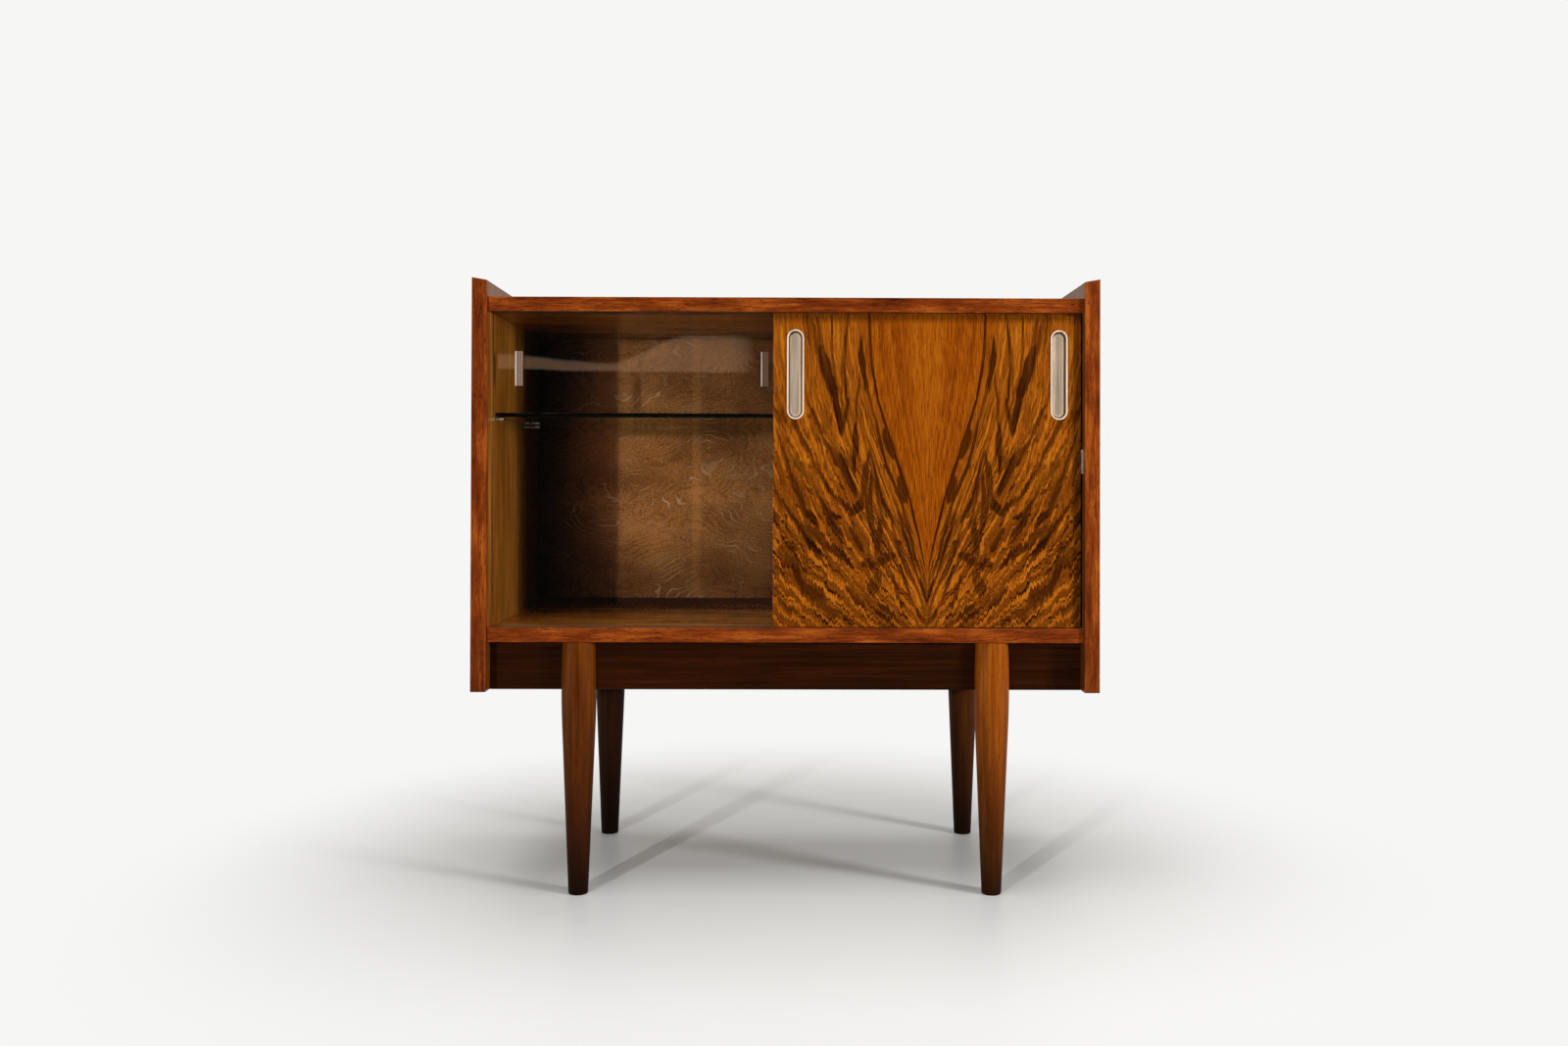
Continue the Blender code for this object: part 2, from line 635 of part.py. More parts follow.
def build_glass_door(finishes):
    """The glass door with its two glued grips."""
    face = behind_front(GLASS_FACE)
    right = GLASS_LEFT + GLASS_DOOR_WIDTH
    bm = bmesh.new()
    add_box(bm, (GLASS_LEFT, face, LEAF_BOTTOM), (right, face + GLASS_THICKNESS, LEAF_TOP))
    ease_edges(bm, GLASS_EASE, lambda edge: True)
    leaves = [place_object("glass_door", bm, finishes["glass"])]

    grip_face = face - SEAT_GAP - GRIP_THICKNESS
    middle = DOOR_TOP - GRIP_TOP_INSET
    for name, x in (("glass_grip_left", GLASS_LEFT + GRIP_SIDE_INSET),
                    ("glass_grip_right", right - GRIP_SIDE_INSET)):
        bm = bmesh.new()
        add_box(bm, (x - GRIP_WIDTH / 2, grip_face, middle - GRIP_LENGTH / 2),
                (x + GRIP_WIDTH / 2, grip_face + GRIP_THICKNESS, middle + GRIP_LENGTH / 2))
        ease_edges(bm, GLASS_EASE, lambda edge: True)
        leaves.append(place_object(name, bm, finishes["glass"]))
    origin = Vector((GLASS_LEFT + GLASS_DOOR_WIDTH / 2, face + GLASS_THICKNESS / 2, LEAF_BOTTOM))
    slide_parent("glass_door_slide", origin, *leaves)


def build_buffer(finish):
    """The small plate on the right side panel that the wooden door stops against."""
    outer = INNER_X - SEAT_GAP
    middle_y, middle_z = behind_front(TONGUE_MIDDLE), BOTTOM_FACE + BUFFER_RISE
    bm = bmesh.new()
    add_box(bm, (outer - BUFFER_THICKNESS, middle_y - BUFFER_WIDTH / 2, middle_z - BUFFER_LENGTH / 2),
            (outer, middle_y + BUFFER_WIDTH / 2, middle_z + BUFFER_LENGTH / 2))
    ease_edges(bm, BUFFER_EASE, lambda edge: not lies_at(edge, 0, outer))
    place_object("door_buffer", bm, finish)


def build_shelf(finishes):
    """The glass shelf and its four pins."""
    ends = INNER_X - SEAT_GAP - PIN_COLLAR_THICKNESS - SHELF_SIDE_GAP
    bm = bmesh.new()
    add_box(bm, (-ends, behind_front(SHELF_SETBACK), SHELF_TOP - SHELF_THICKNESS),
            (ends, behind_front(SHELF_SETBACK + SHELF_DEPTH), SHELF_TOP))
    ease_edges(bm, GLASS_EASE, lambda edge: True)
    place_object("glass_shelf", bm, finishes["glass"])

    pin, collar = PIN_DIAMETER / 2, PIN_COLLAR_DIAMETER / 2
    profile = [(pin, -PIN_IN_SIDE), (pin, SEAT_GAP), (collar, SEAT_GAP),
               (collar, SEAT_GAP + PIN_COLLAR_THICKNESS), (pin, SEAT_GAP + PIN_COLLAR_THICKNESS),
               (pin, PIN_REACH)]
    for side, hand in ((-1, "left"), (1, "right")):
        for place, (y, z) in zip(("front", "back"), pin_points()):
            bm = bmesh.new()
            add_turned(bm, profile, (side * INNER_X, y, z), (-side, 0, 0), PIN_SIDES)
            place_object(f"shelf_pin_{place}_{hand}", bm, finishes["pin"], smooth=True)


def main():
    """Build the whole cabinet."""
    clear_scene()
    finishes = make_finishes()
    for side, hand in ((-1, "left"), (1, "right")):
        build_side(side, hand, finishes)
    build_board("top", TOP_UNDERSIDE, TOP_UNDERSIDE, 1, TOP_GROOVE, finishes)
    build_board("bottom", BOTTOM_UNDERSIDE, BOTTOM_FACE, -1, BOTTOM_GROOVE, finishes)
    build_back(finishes["plywood"])
    build_dowels(finishes["dowel"])
    for end, place in ((-1, "front"), (1, "back")):
        build_apron(place, end, finishes["apron"])
        for side, hand in ((-1, "left"), (1, "right")):
            build_leg(side, hand, end, place, finishes)
    build_wooden_door(finishes)
    build_glass_door(finishes)
    build_buffer(finishes["buffer"])
    build_shelf(finishes)


main()
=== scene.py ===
"""Looks of the mini bar cabinet: finer pieces, finishes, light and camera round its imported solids.

Axes: X to the right, Y to the back, Z up, in metres. The origin is on the floor, under the
middle of the cabinet. A pattern's marks have a real size, given in millimetres where they are set.
"""
from __future__ import annotations

import logging
import math
from abc import ABC, abstractmethod
from dataclasses import dataclass, field, replace
from enum import Enum
from functools import partial
from typing import NamedTuple

import bpy
from mathutils import Matrix, Vector


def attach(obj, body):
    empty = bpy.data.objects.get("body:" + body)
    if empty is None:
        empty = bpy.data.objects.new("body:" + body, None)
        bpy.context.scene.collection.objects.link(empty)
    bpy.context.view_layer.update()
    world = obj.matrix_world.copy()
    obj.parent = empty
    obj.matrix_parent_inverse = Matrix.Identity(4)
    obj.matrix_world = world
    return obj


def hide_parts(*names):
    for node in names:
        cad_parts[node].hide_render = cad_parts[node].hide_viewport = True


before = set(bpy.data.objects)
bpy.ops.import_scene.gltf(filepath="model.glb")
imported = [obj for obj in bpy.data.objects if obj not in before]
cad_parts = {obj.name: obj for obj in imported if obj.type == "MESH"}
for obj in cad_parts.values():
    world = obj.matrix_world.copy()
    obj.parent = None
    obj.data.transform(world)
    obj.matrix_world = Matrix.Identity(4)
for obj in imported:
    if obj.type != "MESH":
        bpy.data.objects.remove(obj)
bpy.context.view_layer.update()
LOG = logging.getLogger("bar_cabinet")
MM_PER_M = 1000.0

Material = bpy.types.Material
Node = bpy.types.Node
Piece = bpy.types.Object
Socket = bpy.types.NodeSocket
Tree = bpy.types.NodeTree
Triple = tuple[float, float, float]
Colour = tuple[float, float, float, float]
Stops = tuple[tuple[float, str], ...]
# Two values, and what they are turned into, as a Map Range node takes them
Ramp = tuple[float, float, float, float]

# Colour that painted shade mixes in, and the white of the background
SHADOW = "#0a0402"
BACKGROUND = "#f6f6f5"
# A Mix node's settings for colours
RGBA = {"take": 2, "data_type": "RGBA"}
# Values of a pore layer's noise between which pores open
PORES_OPEN = (0.60, 0.72)
# The middle value of a noise, and what tells one bounce of a ray from none
HALF = 0.5


# Nodes and colours

def linear(hex_colour: str) -> Colour:
    """Turn an sRGB colour into linear light.

    Args:
        hex_colour: Colour such as #7b3f1d.

    Returns:
        Linear red, green, blue and an alpha of 1.
    """
    channels = [int(hex_colour[i:i + 2], 16) / 255 for i in (1, 3, 5)]
    return (*(c / 12.92 if c <= 0.04045 else ((c + 0.055) / 1.055) ** 2.4 for c in channels), 1.0)


def feed(tree: Tree, node: Node, sources: dict | tuple) -> None:
    """Set or link inputs of a node.

    Args:
        tree: Node tree of the node.
        node: The node.
        sources: Value or source socket of each input, in order, or by name or number.
    """
    for key, value in sources.items() if isinstance(sources, dict) else enumerate(sources):
        if isinstance(value, Socket):
            tree.links.new(value, node.inputs[key])
        else:
            node.inputs[key].default_value = value


def add_node(tree: Tree, kind: str, sources: dict | tuple = (), take: int | str = 0, stops: Stops = (),
             **settings: str | bool) -> Socket:
    """Add one shader node with its settings and links.

    Args:
        tree: Node tree that gets the node.
        kind: Node type without its ShaderNode prefix.
        sources: Value or source socket of each input, in order, or by name or number.
        take: Name or number of the output to hand back.
        stops: Position and colour of each stop, for a colour ramp.
        settings: Properties of the node.

    Returns:
        The chosen output socket.
    """
    node = tree.nodes.new("ShaderNode" + kind)
    for name, value in settings.items():
        setattr(node, name, value)
    feed(tree, node, sources)
    if stops:
        elements = node.color_ramp.elements
        while len(elements) < len(stops):
            elements.new(1.0)
        for element, (position, colour) in zip(elements, stops):
            element.position, element.color = position, linear(colour)
    return node.outputs[take]


class Grain(Enum):
    """Axis along which the grain of a piece runs."""

    X = 0
    Y = 1
    Z = 2


class Layer(NamedTuple):
    """A layer of noise: marks to a unit of each axis, finer octaves, and what each of them keeps."""

    scale: Triple
    detail: float = 2.0
    roughness: float = 0.5


class Stretch(NamedTuple):
    """Size of a pattern's marks in millimetres, across and along the grain."""

    across: float
    along: float

    def layer(self, grain: Grain, detail: float = 2.0, roughness: float = 0.5) -> Layer:
        """Noise with marks of this size, for a place in metres.

        Args:
            grain: Axis along which the grain runs.
            detail: Number of finer octaves.
            roughness: Share that each finer octave keeps.

        Returns:
            The layer of noise.
        """
        factors = [MM_PER_M / self.across] * 3
        factors[grain.value] = MM_PER_M / self.along
        return Layer(tuple(factors), detail, roughness)


def marks(tree: Tree, place: Socket, layer: Layer, take: str = "Fac") -> Socket:
    """One layer of noise whose marks have a set size on each axis.

    Args:
        tree: Node tree that gets the layer.
        place: Position that the layer reads.
        layer: The layer.
        take: Output of the noise, Fac or Color.

    Returns:
        The noise, about 0.5 on average.
    """
    sized = add_node(tree, "VectorMath", (place, layer.scale), operation="MULTIPLY")
    return add_node(tree, "TexNoise", {"Vector": sized, "Scale": 1.0, "Detail": layer.detail,
                                       "Roughness": layer.roughness}, take)


class Rays(NamedTuple):
    """Kinds of rays, each 1 or 0: straight from the camera, mirrored, and already lit."""

    eye: Socket
    mirrored: Socket
    spent: Socket


def sort_rays(tree: Tree) -> Rays:
    """Tell rays apart, also where they went through glass.

    A scattered ray that leaves through glass is spent: the light that it would find there has
    reached its surface as lamp and sky light already.

    Args:
        tree: Node tree of the world or the floor.

    Returns:
        The kinds of rays.
    """
    add = partial(add_node, tree)
    path = add("LightPath").node.outputs
    scattered = add("Math", (path["Diffuse Depth"], HALF), operation="GREATER_THAN")
    bounced = add("Math", (path["Glossy Depth"], HALF), operation="GREATER_THAN")
    mirrored = add("Math", (bounced, scattered), operation="SUBTRACT", use_clamp=True)
    touched = add("Math", (bounced, scattered), operation="MAXIMUM")
    through = add("Math", (path["Is Transmission Ray"], touched), operation="SUBTRACT", use_clamp=True)
    eye = add("Math", (path["Is Camera Ray"], through), operation="MAXIMUM")
    spent = add("Math", (path["Is Transmission Ray"], scattered), operation="MULTIPLY")
    return Rays(eye, mirrored, spent)


class Finish(ABC):
    """A surface finish that makes one material."""

    name: str

    def make(self) -> Material:
        """Make the material and dress its shader.

        Returns:
            The material.
        """
        material = bpy.data.materials.new(self.name)
        material.use_nodes = True
        tree = material.node_tree
        self.dress(tree, tree.nodes["Principled BSDF"])
        return material

    @abstractmethod
    def dress(self, tree: Tree, shader: Node) -> None:
        """Set and link the inputs of the Principled shader.

        Args:
            tree: The material's node tree.
            shader: Its Principled shader.
        """


class Figure(NamedTuple):
    """What a wood's pattern hands to its shader."""

    colour: Socket
    pores: Socket
    relief: Socket


class Lacquer(NamedTuple):
    """Clear lacquer on wood: roughness between the pores, the coat, and the relief in metres."""

    roughness: float = 0.38
    coat: float = 0.8
    coat_roughness: float = 0.12
    relief: float = 0.00010
    # What a pore adds to the roughness, and the weak gloss of the wood under its coat
    pore_roughness: float = 0.25
    gloss: float = 0.05

    def dress(self, tree: Tree, shader: Node, figure: Figure) -> None:
        """Dress a shader as wood under this lacquer, which sinks a little into the pores.

        Args:
            tree: The material's node tree.
            shader: Its Principled shader.
            figure: Pattern of the wood.
        """
        feed(tree, shader, {
            "Base Color": figure.colour, "Specular IOR Level": self.gloss, "Coat Weight": self.coat,
            "Coat Roughness": self.coat_roughness,
            "Roughness": add_node(tree, "MapRange", (figure.pores, 0.0, 1.0, self.roughness,
                                                     self.roughness + self.pore_roughness)),
            "Normal": add_node(tree, "Bump", {"Height": figure.relief, "Strength": 0.5,
                                              "Distance": self.relief})})


def open_grain(tree: Tree, colour: Socket, fibre: Socket, pores: Socket, pore: str,
               share: float) -> Figure:
    """Lay dark pores over a wood's colour.

    Args:
        tree: Node tree that gets the nodes.
        colour: Colour between the pores.
        fibre: Noise of the fibre.
        pores: Noise of the pores.
        pore: Colour of a pore.
        share: Strength of the pores.

    Returns:
        Colour, pores and relief.
    """
    opened = add_node(tree, "MapRange", (pores, *PORES_OPEN, 0.0, share))
    return Figure(add_node(tree, "Mix", {0: opened, 6: colour, 7: linear(pore)}, **RGBA), opened,
                  add_node(tree, "Math", (fibre, opened), operation="SUBTRACT"))


class Shade(NamedTuple):
    """Painted shade that deepens along one axis: full colour at the end, this share of it at the start."""

    axis: Grain
    start: float
    end: float
    share: float


def paint_shade(tree: Tree, place: Socket, colour: Socket, shades: tuple[Shade, ...]) -> Socket:
    """Deepen a colour by each painted shade in turn.

    Args:
        tree: Node tree that gets the nodes.
        place: Position that the shades read.
        colour: Colour before the shades.
        shades: The painted shades, perhaps none.

    Returns:
        The deepened colour.
    """
    for shade in shades:
        along = add_node(tree, "SeparateXYZ", (place,), shade.axis.name)
        share = add_node(tree, "MapRange", (along, shade.start, shade.end, shade.share),
                         interpolation_type="SMOOTHSTEP")
        colour = add_node(tree, "Mix", {0: share, 6: linear(SHADOW), 7: colour}, **RGBA)
    return colour


@dataclass(frozen=True)
class Wood(Finish):
    """Straight-grained wood: growth streaks, fine fibre, pores, and slow changes of tone."""

    name: str
    grain: Grain
    dark: str
    middle: str
    light: str
    pore: str
    streak: Stretch = Stretch(5.0, 260.0)
    # Fibre and pores are finer on the real wood, and are drawn as coarse as they need to show
    fibre: Stretch = Stretch(1.4, 60.0)
    pore_size: Stretch = Stretch(0.9, 9.0)
    pore_share: float = 0.5
    cloud: Stretch = Stretch(45.0, 190.0)
    cloud_share: float = 0.28
    fibre_share: float = 0.32
    tones: Triple = (0.34, 0.50, 0.64)
    wander: float = 0.006
    shades: tuple[Shade, ...] = ()
    lacquer: Lacquer = Lacquer()

    def along_x(self, name: str) -> Wood:
        """The same wood under another name, with its grain along X and only its shades along Y."""
        kept = tuple(shade for shade in self.shades if shade.axis is Grain.Y)
        return replace(self, name=name, grain=Grain.X, shades=kept)

    def figure(self, tree: Tree) -> Figure:
        """Build the pattern.

        Args:
            tree: Node tree that gets the pattern.

        Returns:
            Colour, pores and relief of the wood.
        """
        add = partial(add_node, tree)
        place = add("TexCoord", take="Object")
        drift = marks(tree, place, self.cloud.layer(self.grain, 1.0), "Color")
        centred = add("VectorMath", (drift, (HALF,) * 3), operation="SUBTRACT")
        pull = add("VectorMath", {0: centred, "Scale": self.wander}, operation="SCALE")
        bent = add("VectorMath", (place, pull), operation="ADD")
        streak = marks(tree, bent, self.streak.layer(self.grain, 4.0, 0.62))
        fibre = marks(tree, bent, self.fibre.layer(self.grain))
        cloud = marks(tree, place, self.cloud.layer(self.grain))
        shade = add("Mix", {0: self.fibre_share, 2: streak, 3: fibre})
        tone = add("Mix", {0: self.cloud_share, 2: shade, 3: cloud})
        colour = add("ValToRGB", (tone,), stops=tuple(zip(self.tones, (self.dark, self.middle, self.light))))
        pored = open_grain(tree, colour, fibre, marks(tree, bent, self.pore_size.layer(self.grain, 1.0)),
                           self.pore, self.pore_share)
        return pored._replace(colour=paint_shade(tree, place, pored.colour, self.shades))

    def dress(self, tree: Tree, shader: Node) -> None:
        """Dress the shader as this wood under lacquer."""
        self.lacquer.dress(tree, shader, self.figure(tree))


@dataclass(frozen=True)
class TwoFacedBoard(Finish):
    """A board with one veneer outside and another towards the space inside the cabinet."""

    name: str
    outside: Wood
    inside: Wood
    half_x: float
    middle_z: float
    half_z: float

    def dress(self, tree: Tree, shader: Node) -> None:
        """Dress the shader with the inside veneer where a point borders the space inside.

        Args:
            tree: The material's node tree.
            shader: Its Principled shader.
        """
        add = partial(add_node, tree)
        split = add("SeparateXYZ", (add("TexCoord", take="Object"),)).node.outputs
        near_x = add("Math", (split["X"], 0.0, self.half_x), operation="COMPARE")
        near_z = add("Math", (split["Z"], self.middle_z, self.half_z), operation="COMPARE")
        inner = add("Math", (near_x, near_z), operation="MULTIPLY")
        near, beyond = self.inside.figure(tree), self.outside.figure(tree)
        self.outside.lacquer.dress(tree, shader, Figure(
            add("Mix", {0: inner, 6: beyond.colour, 7: near.colour}, **RGBA),
            add("Mix", {0: inner, 2: beyond.pores, 3: near.pores}),
            add("Mix", {0: inner, 2: beyond.relief, 3: near.relief})))


class Stroke(NamedTuple):
    """A dark streak of the figure between two points of half a door, all in millimetres.

    A point is its distance from the joint and its distance below the head.
    """

    start: float
    start_below: float
    end: float
    end_below: float
    half_width: float
    depth: float


# The dark streaks of the bookmatched door, in the order of Stroke's fields
STROKES = (
    # The two lines that frame the plain field
    (76, -20, 62, 125, 2.3, 0.9), (65, 110, 43, 180, 2.5, 0.85), (46, 172, 21, 246, 3.0, 0.9),
    (23, 238, 2, 335, 2.8, 0.95), (87, 40, 66, 145, 1.9, 0.8), (67, 138, 52, 205, 2.5, 0.85),
    (53, 196, 30, 254, 3.0, 0.9), (33, 246, 8, 345, 2.5, 0.85),
    # Spindles beside the plain field, and their tails
    (87, 30, 81, 100, 3.6, 0.9), (87, 44, 83, 78, 5.0, 0.9), (88, 74, 93, 160, 2.1, 0.7),
    (93, 138, 95, 206, 3.2, 0.9), (93, 152, 94, 186, 4.8, 0.9), (56, 150, 44, 188, 7.7, 0.85),
    (36, 212, 28, 246, 7.0, 0.85),
    # The V beside them, and the dark mass that forms its outer arm
    (100, -20, 104, 135, 2.1, 0.75), (103, 110, 112, 160, 2.8, 0.8), (105, 10, 110, 152, 1.7, 0.55),
    (124, -10, 119, 100, 2.3, 0.7), (140, 40, 121, 108, 8.3, 0.9), (122, 88, 112, 158, 5.0, 0.95),
    (146, 0, 130, 75, 3.3, 0.65), (160, -10, 144, 52, 8.3, 0.5),
    # Slanting streaks from the outer edge inwards
    (153, 122, 126, 178, 3.9, 0.75), (128, 168, 108, 210, 5.6, 0.7), (115, 184, 94, 236, 7.0, 0.9),
    (175, 128, 146, 202, 3.3, 0.75), (150, 192, 118, 242, 4.2, 0.75), (124, 236, 96, 260, 4.4, 0.8),
    (170, 186, 138, 244, 3.7, 0.7), (142, 236, 110, 294, 5.8, 0.75), (196, 158, 172, 222, 3.9, 0.75),
    (175, 214, 150, 284, 5.0, 0.75), (196, 240, 166, 276, 4.7, 0.75), (172, 268, 158, 306, 4.2, 0.7),
    (164, 276, 124, 304, 8.3, 0.8), (132, 298, 98, 326, 7.0, 0.9),
    # The U and the narrow leaf inside it
    (79, 192, 85, 254, 3.3, 0.8), (82, 246, 100, 260, 4.6, 0.9), (75, 176, 57, 244, 2.3, 0.85),
    (60, 236, 44, 272, 3.3, 0.85), (76, 178, 80, 250, 2.5, 0.8), (79, 240, 70, 296, 3.3, 0.85),
    (73, 205, 69, 288, 2.8, 0.8), (68, 216, 54, 278, 2.5, 0.7),
    # Toothed patches and lines towards the foot
    (38, 256, 12, 345, 2.5, 0.85), (47, 268, 24, 345, 2.5, 0.75), (57, 264, 66, 320, 3.3, 0.75),
    (42, 312, 66, 326, 3.6, 0.8), (100, 276, 84, 312, 5.0, 0.8), (70, 326, 84, 334, 3.2, 0.8),
    (193, 322, 174, 302, 4.4, 0.75), (178, 302, 162, 362, 4.4, 0.8), (166, 356, 138, 362, 7.0, 0.65),
    (104, 366, 84, 378, 7.7, 0.85), (62, 382, 40, 396, 7.7, 0.8), (62, 338, 73, 364, 3.7, 0.7),
    (34, 328, 20, 376, 2.5, 0.8), (44, 338, 32, 384, 2.5, 0.7), (9, 345, 0, 378, 4.4, 0.95),
    (126, 330, 108, 352, 5.6, 0.6), (150, 372, 118, 392, 7.0, 0.6), (196, 372, 170, 394, 6.3, 0.6))


class Push(NamedTuple):
    """Noise that pushes a value up and down, its least size, and what it can gain."""

    layer: Layer
    least: float
    gained: float

    def apply(self, tree: Tree, value: Socket, place: Socket, gain: Socket) -> Socket:
        """Push a value.

        Args:
            tree: Node tree that gets the nodes.
            value: Value before the push.
            place: Position that the noise reads.
            gain: Share of the gain, from 0 to 1.

        Returns:
            The pushed value.
        """
        size = add_node(tree, "Math", (gain, self.gained, self.least), operation="MULTIPLY_ADD")
        centred = add_node(tree, "Math", (marks(tree, place, self.layer), HALF), operation="SUBTRACT")
        return add_node(tree, "Math", (centred, size, value), operation="MULTIPLY_ADD")


@dataclass(frozen=True)
class BookmatchedVeneer(Finish):
    """Figured walnut, opened like a book at the middle of the door.

    Its lines are nearly upright at the head and run together towards the foot of the joint.
    A line that meets the head at c millimetres from the joint lies at c (1 - spread T) - draw T
    from it, where T is the distance below the head, in millimetres, to the power of bow. Far from
    the joint the lines stay steeper, because the distance is opened by its cube first, and near
    the joint they turn down, as the wedge has it.
    """

    name: str
    joint_x: float
    head_z: float
    outer_edge: tuple[float, float] = (0.189, 0.197)
    draw: float = 0.0057
    spread: float = 3.73e-5
    bow: float = 1.6
    opening: float = 5e-6
    wedge: float = 28.0
    wedge_reach: float = 10.0
    plain: tuple[str, str, str] = ("#753204", "#934706", "#ab5d0e")
    figured: tuple[str, str, str] = ("#823f09", "#a4550d", "#bc6e15")
    smoke: str = "#4c1e04"
    ink: str = "#260b02"
    pore: str = "#2a1508"
    # The plain field: its half width, how far the figure fades in round it, and where it is lighter
    plain_width: float = 84.0
    fade: tuple[float, float] = (-10.0, 22.0)
    reach: float = 150.0
    glow: Ramp = (6.0, 42.0, 0.05, -0.02)
    # Pushes by millimetres, which are larger outside the plain field. Scallops are 24 by 170 mm,
    # teeth 3 by 45 mm, sways 45 by 34 mm, and each half's own strands 6 by 70 mm.
    scallop: Push = Push(Layer((1 / 24, 1.0, 1 / 170), 1.0), 2.0, 24.0)
    teeth: Push = Push(Layer((1 / 3.0, 1.0, 1 / 45), 2.0, 0.6), 4.0, 20.0)
    own: Push = Push(Layer((160.0, 1.0, 14.0)), 3.0, 4.0)
    sway: Push = Push(Layer((1 / 45, 1.0, 1 / 34), 3.0), 2.0, 4.0)
    # Streaks are 66 mm and fine lines 80 mm long. Both widen away from the joint, because they are
    # even in the logarithm of their line's place, from this place outwards. Ribbons are 6 by 150 mm.
    least_place: float = 12.0
    streak: Layer = Layer((18.0, 1.0, 1 / 66), 1.0, 0.35)
    fine: Layer = Layer((42.0, 1.0, 1 / 80), 2.0, 0.6)
    ribbon: Layer = Layer((1 / 6, 1.0, 1 / 150), 3.0)
    # Fibre of 1.2 by 25 mm and pores of 1.4 by 9 mm, drawn coarser than the real ones to show
    fibre: Layer = Layer((800.0, 800.0, 40.0))
    pores: Layer = Layer((700.0, 700.0, 110.0), 1.0)
    pore_share: float = 0.5
    grainy: float = 0.45
    ribboned: float = 0.36
    tones: tuple[Triple, Triple] = ((0.38, 0.5, 0.62), (0.4, 0.5, 0.6))
    # Smoke between two values of the streaks, its strength, and how far below the head it is full
    smoke_range: Ramp = (0.42, 0.60, 0.0, 0.68)
    full_below: tuple[float, float, float] = (0.0, 300.0, 0.3)
    # The thin line on a streak's edge, by distance from the edge's value, and veins in all lines
    rim: Ramp = (0.013, 0.042, 1.0, 0.0)
    vein: Ramp = (0.38, 0.62, 1.05, 0.84)
    # A stroke's length against its two points, and the spindle's value at which it is full
    stroke_length: float = 0.62
    stroke_full: float = 0.22
    # Shade under the top board and at the outer edge
    edge_shade: float = 0.5
    head_shade: tuple[float, float] = (4.0, 12.0)
    lacquer: Lacquer = Lacquer(0.34, 0.8, 0.1, 0.00006)

    def head_place(self, across: float, below: float) -> float:
        """Follow the line through a point up to the door's head, in millimetres.

        Args:
            across: Distance of the point from the joint.
            below: Depth of the point under the head.

        Returns:
            Distance from the joint at which the line meets the head.
        """
        fall = max(0.0, below) ** self.bow
        opened = across + self.opening * across ** 3
        even = (opened + self.draw * fall) / (1 - self.spread * fall)
        return even - self.wedge * math.exp(-across / self.wedge_reach)

    def line_place(self, tree: Tree, across: Socket, below: Socket) -> Socket:
        """Place at the head of the line that passes through a point, as head_place has it.

        Args:
            tree: Node tree that gets the nodes.
            across: Distance from the joint in millimetres.
            below: Distance below the head in millimetres.

        Returns:
            Distance from the joint at which the line meets the head, in millimetres.
        """
        add = partial(add_node, tree)
        kept = add("Math", (below, 0.0), operation="MAXIMUM")
        fall = add("Math", (kept, self.bow), operation="POWER")
        cube = add("Math", (across, 3.0), operation="POWER")
        opened = add("Math", (cube, self.opening, across), operation="MULTIPLY_ADD")
        drawn = add("Math", (fall, self.draw, opened), operation="MULTIPLY_ADD")
        narrow = add("Math", (fall, -self.spread, 1.0), operation="MULTIPLY_ADD")
        even = add("Math", (drawn, narrow), operation="DIVIDE")
        near = add("Math", (across, -1 / self.wedge_reach), operation="MULTIPLY")
        near = add("Math", (near,), operation="EXPONENT")
        return add("Math", (near, -self.wedge, even), operation="MULTIPLY_ADD")

    def draw_strokes(self, tree: Tree, figure: Socket) -> Socket:
        """Draw every stroke as a soft spindle.

        Args:
            tree: Node tree that gets the nodes.
            figure: Line's place at the head and distance below the head, in millimetres.

        Returns:
            Darkness of the strokes.
        """
        add = partial(add_node, tree)
        dark = None
        for stroke in map(Stroke._make, STROKES):
            high, low = stroke.start_below, stroke.end_below
            first, last = self.head_place(stroke.start, high), self.head_place(stroke.end, low)
            middle = (high + low) / 2
            opened = 1 + 3 * self.opening * ((stroke.start + stroke.end) / 2) ** 2
            wide = stroke.half_width * opened / (1 - self.spread * max(0.0, middle) ** self.bow)
            placed = add("Mapping", {
                "Vector": figure, "Location": ((first + last) / 2, middle, 0.0),
                "Rotation": (0.0, 0.0, math.atan2(low - high, last - first)),
                "Scale": (math.hypot(low - high, last - first) * self.stroke_length, wide, 1.0)},
                vector_type="TEXTURE")
            spindle = add("TexGradient", (placed,), "Fac", gradient_type="SPHERICAL")
            blot = add("MapRange", (spindle, 0.0, self.stroke_full, 0.0, stroke.depth))
            dark = add("Math", (dark, blot), operation="MAXIMUM") if dark else blot
        return dark

    def dress(self, tree: Tree, shader: Node) -> None:
        """Dress the shader with the mirrored figure under gloss lacquer.

        Args:
            tree: The material's node tree.
            shader: Its Principled shader.
        """
        add = partial(add_node, tree)
        place = add("TexCoord", take="Object")
        split = add("SeparateXYZ", (place,)).node.outputs
        off = add("Math", (split["X"], self.joint_x), operation="SUBTRACT")
        across = add("Math", (add("Math", (off,), operation="ABSOLUTE"), MM_PER_M), operation="MULTIPLY")
        below = add("Math", (split["Z"], -MM_PER_M, self.head_z * MM_PER_M), operation="MULTIPLY_ADD")
        mirrored = add("CombineXYZ", (across, 0.0, below))
        calm = self.line_place(tree, across, below)
        wild = add("MapRange", (calm, *(self.plain_width + far for far in self.fade)),
                   interpolation_type="SMOOTHSTEP")
        outer = add("MapRange", (calm, self.plain_width, self.plain_width + self.reach))

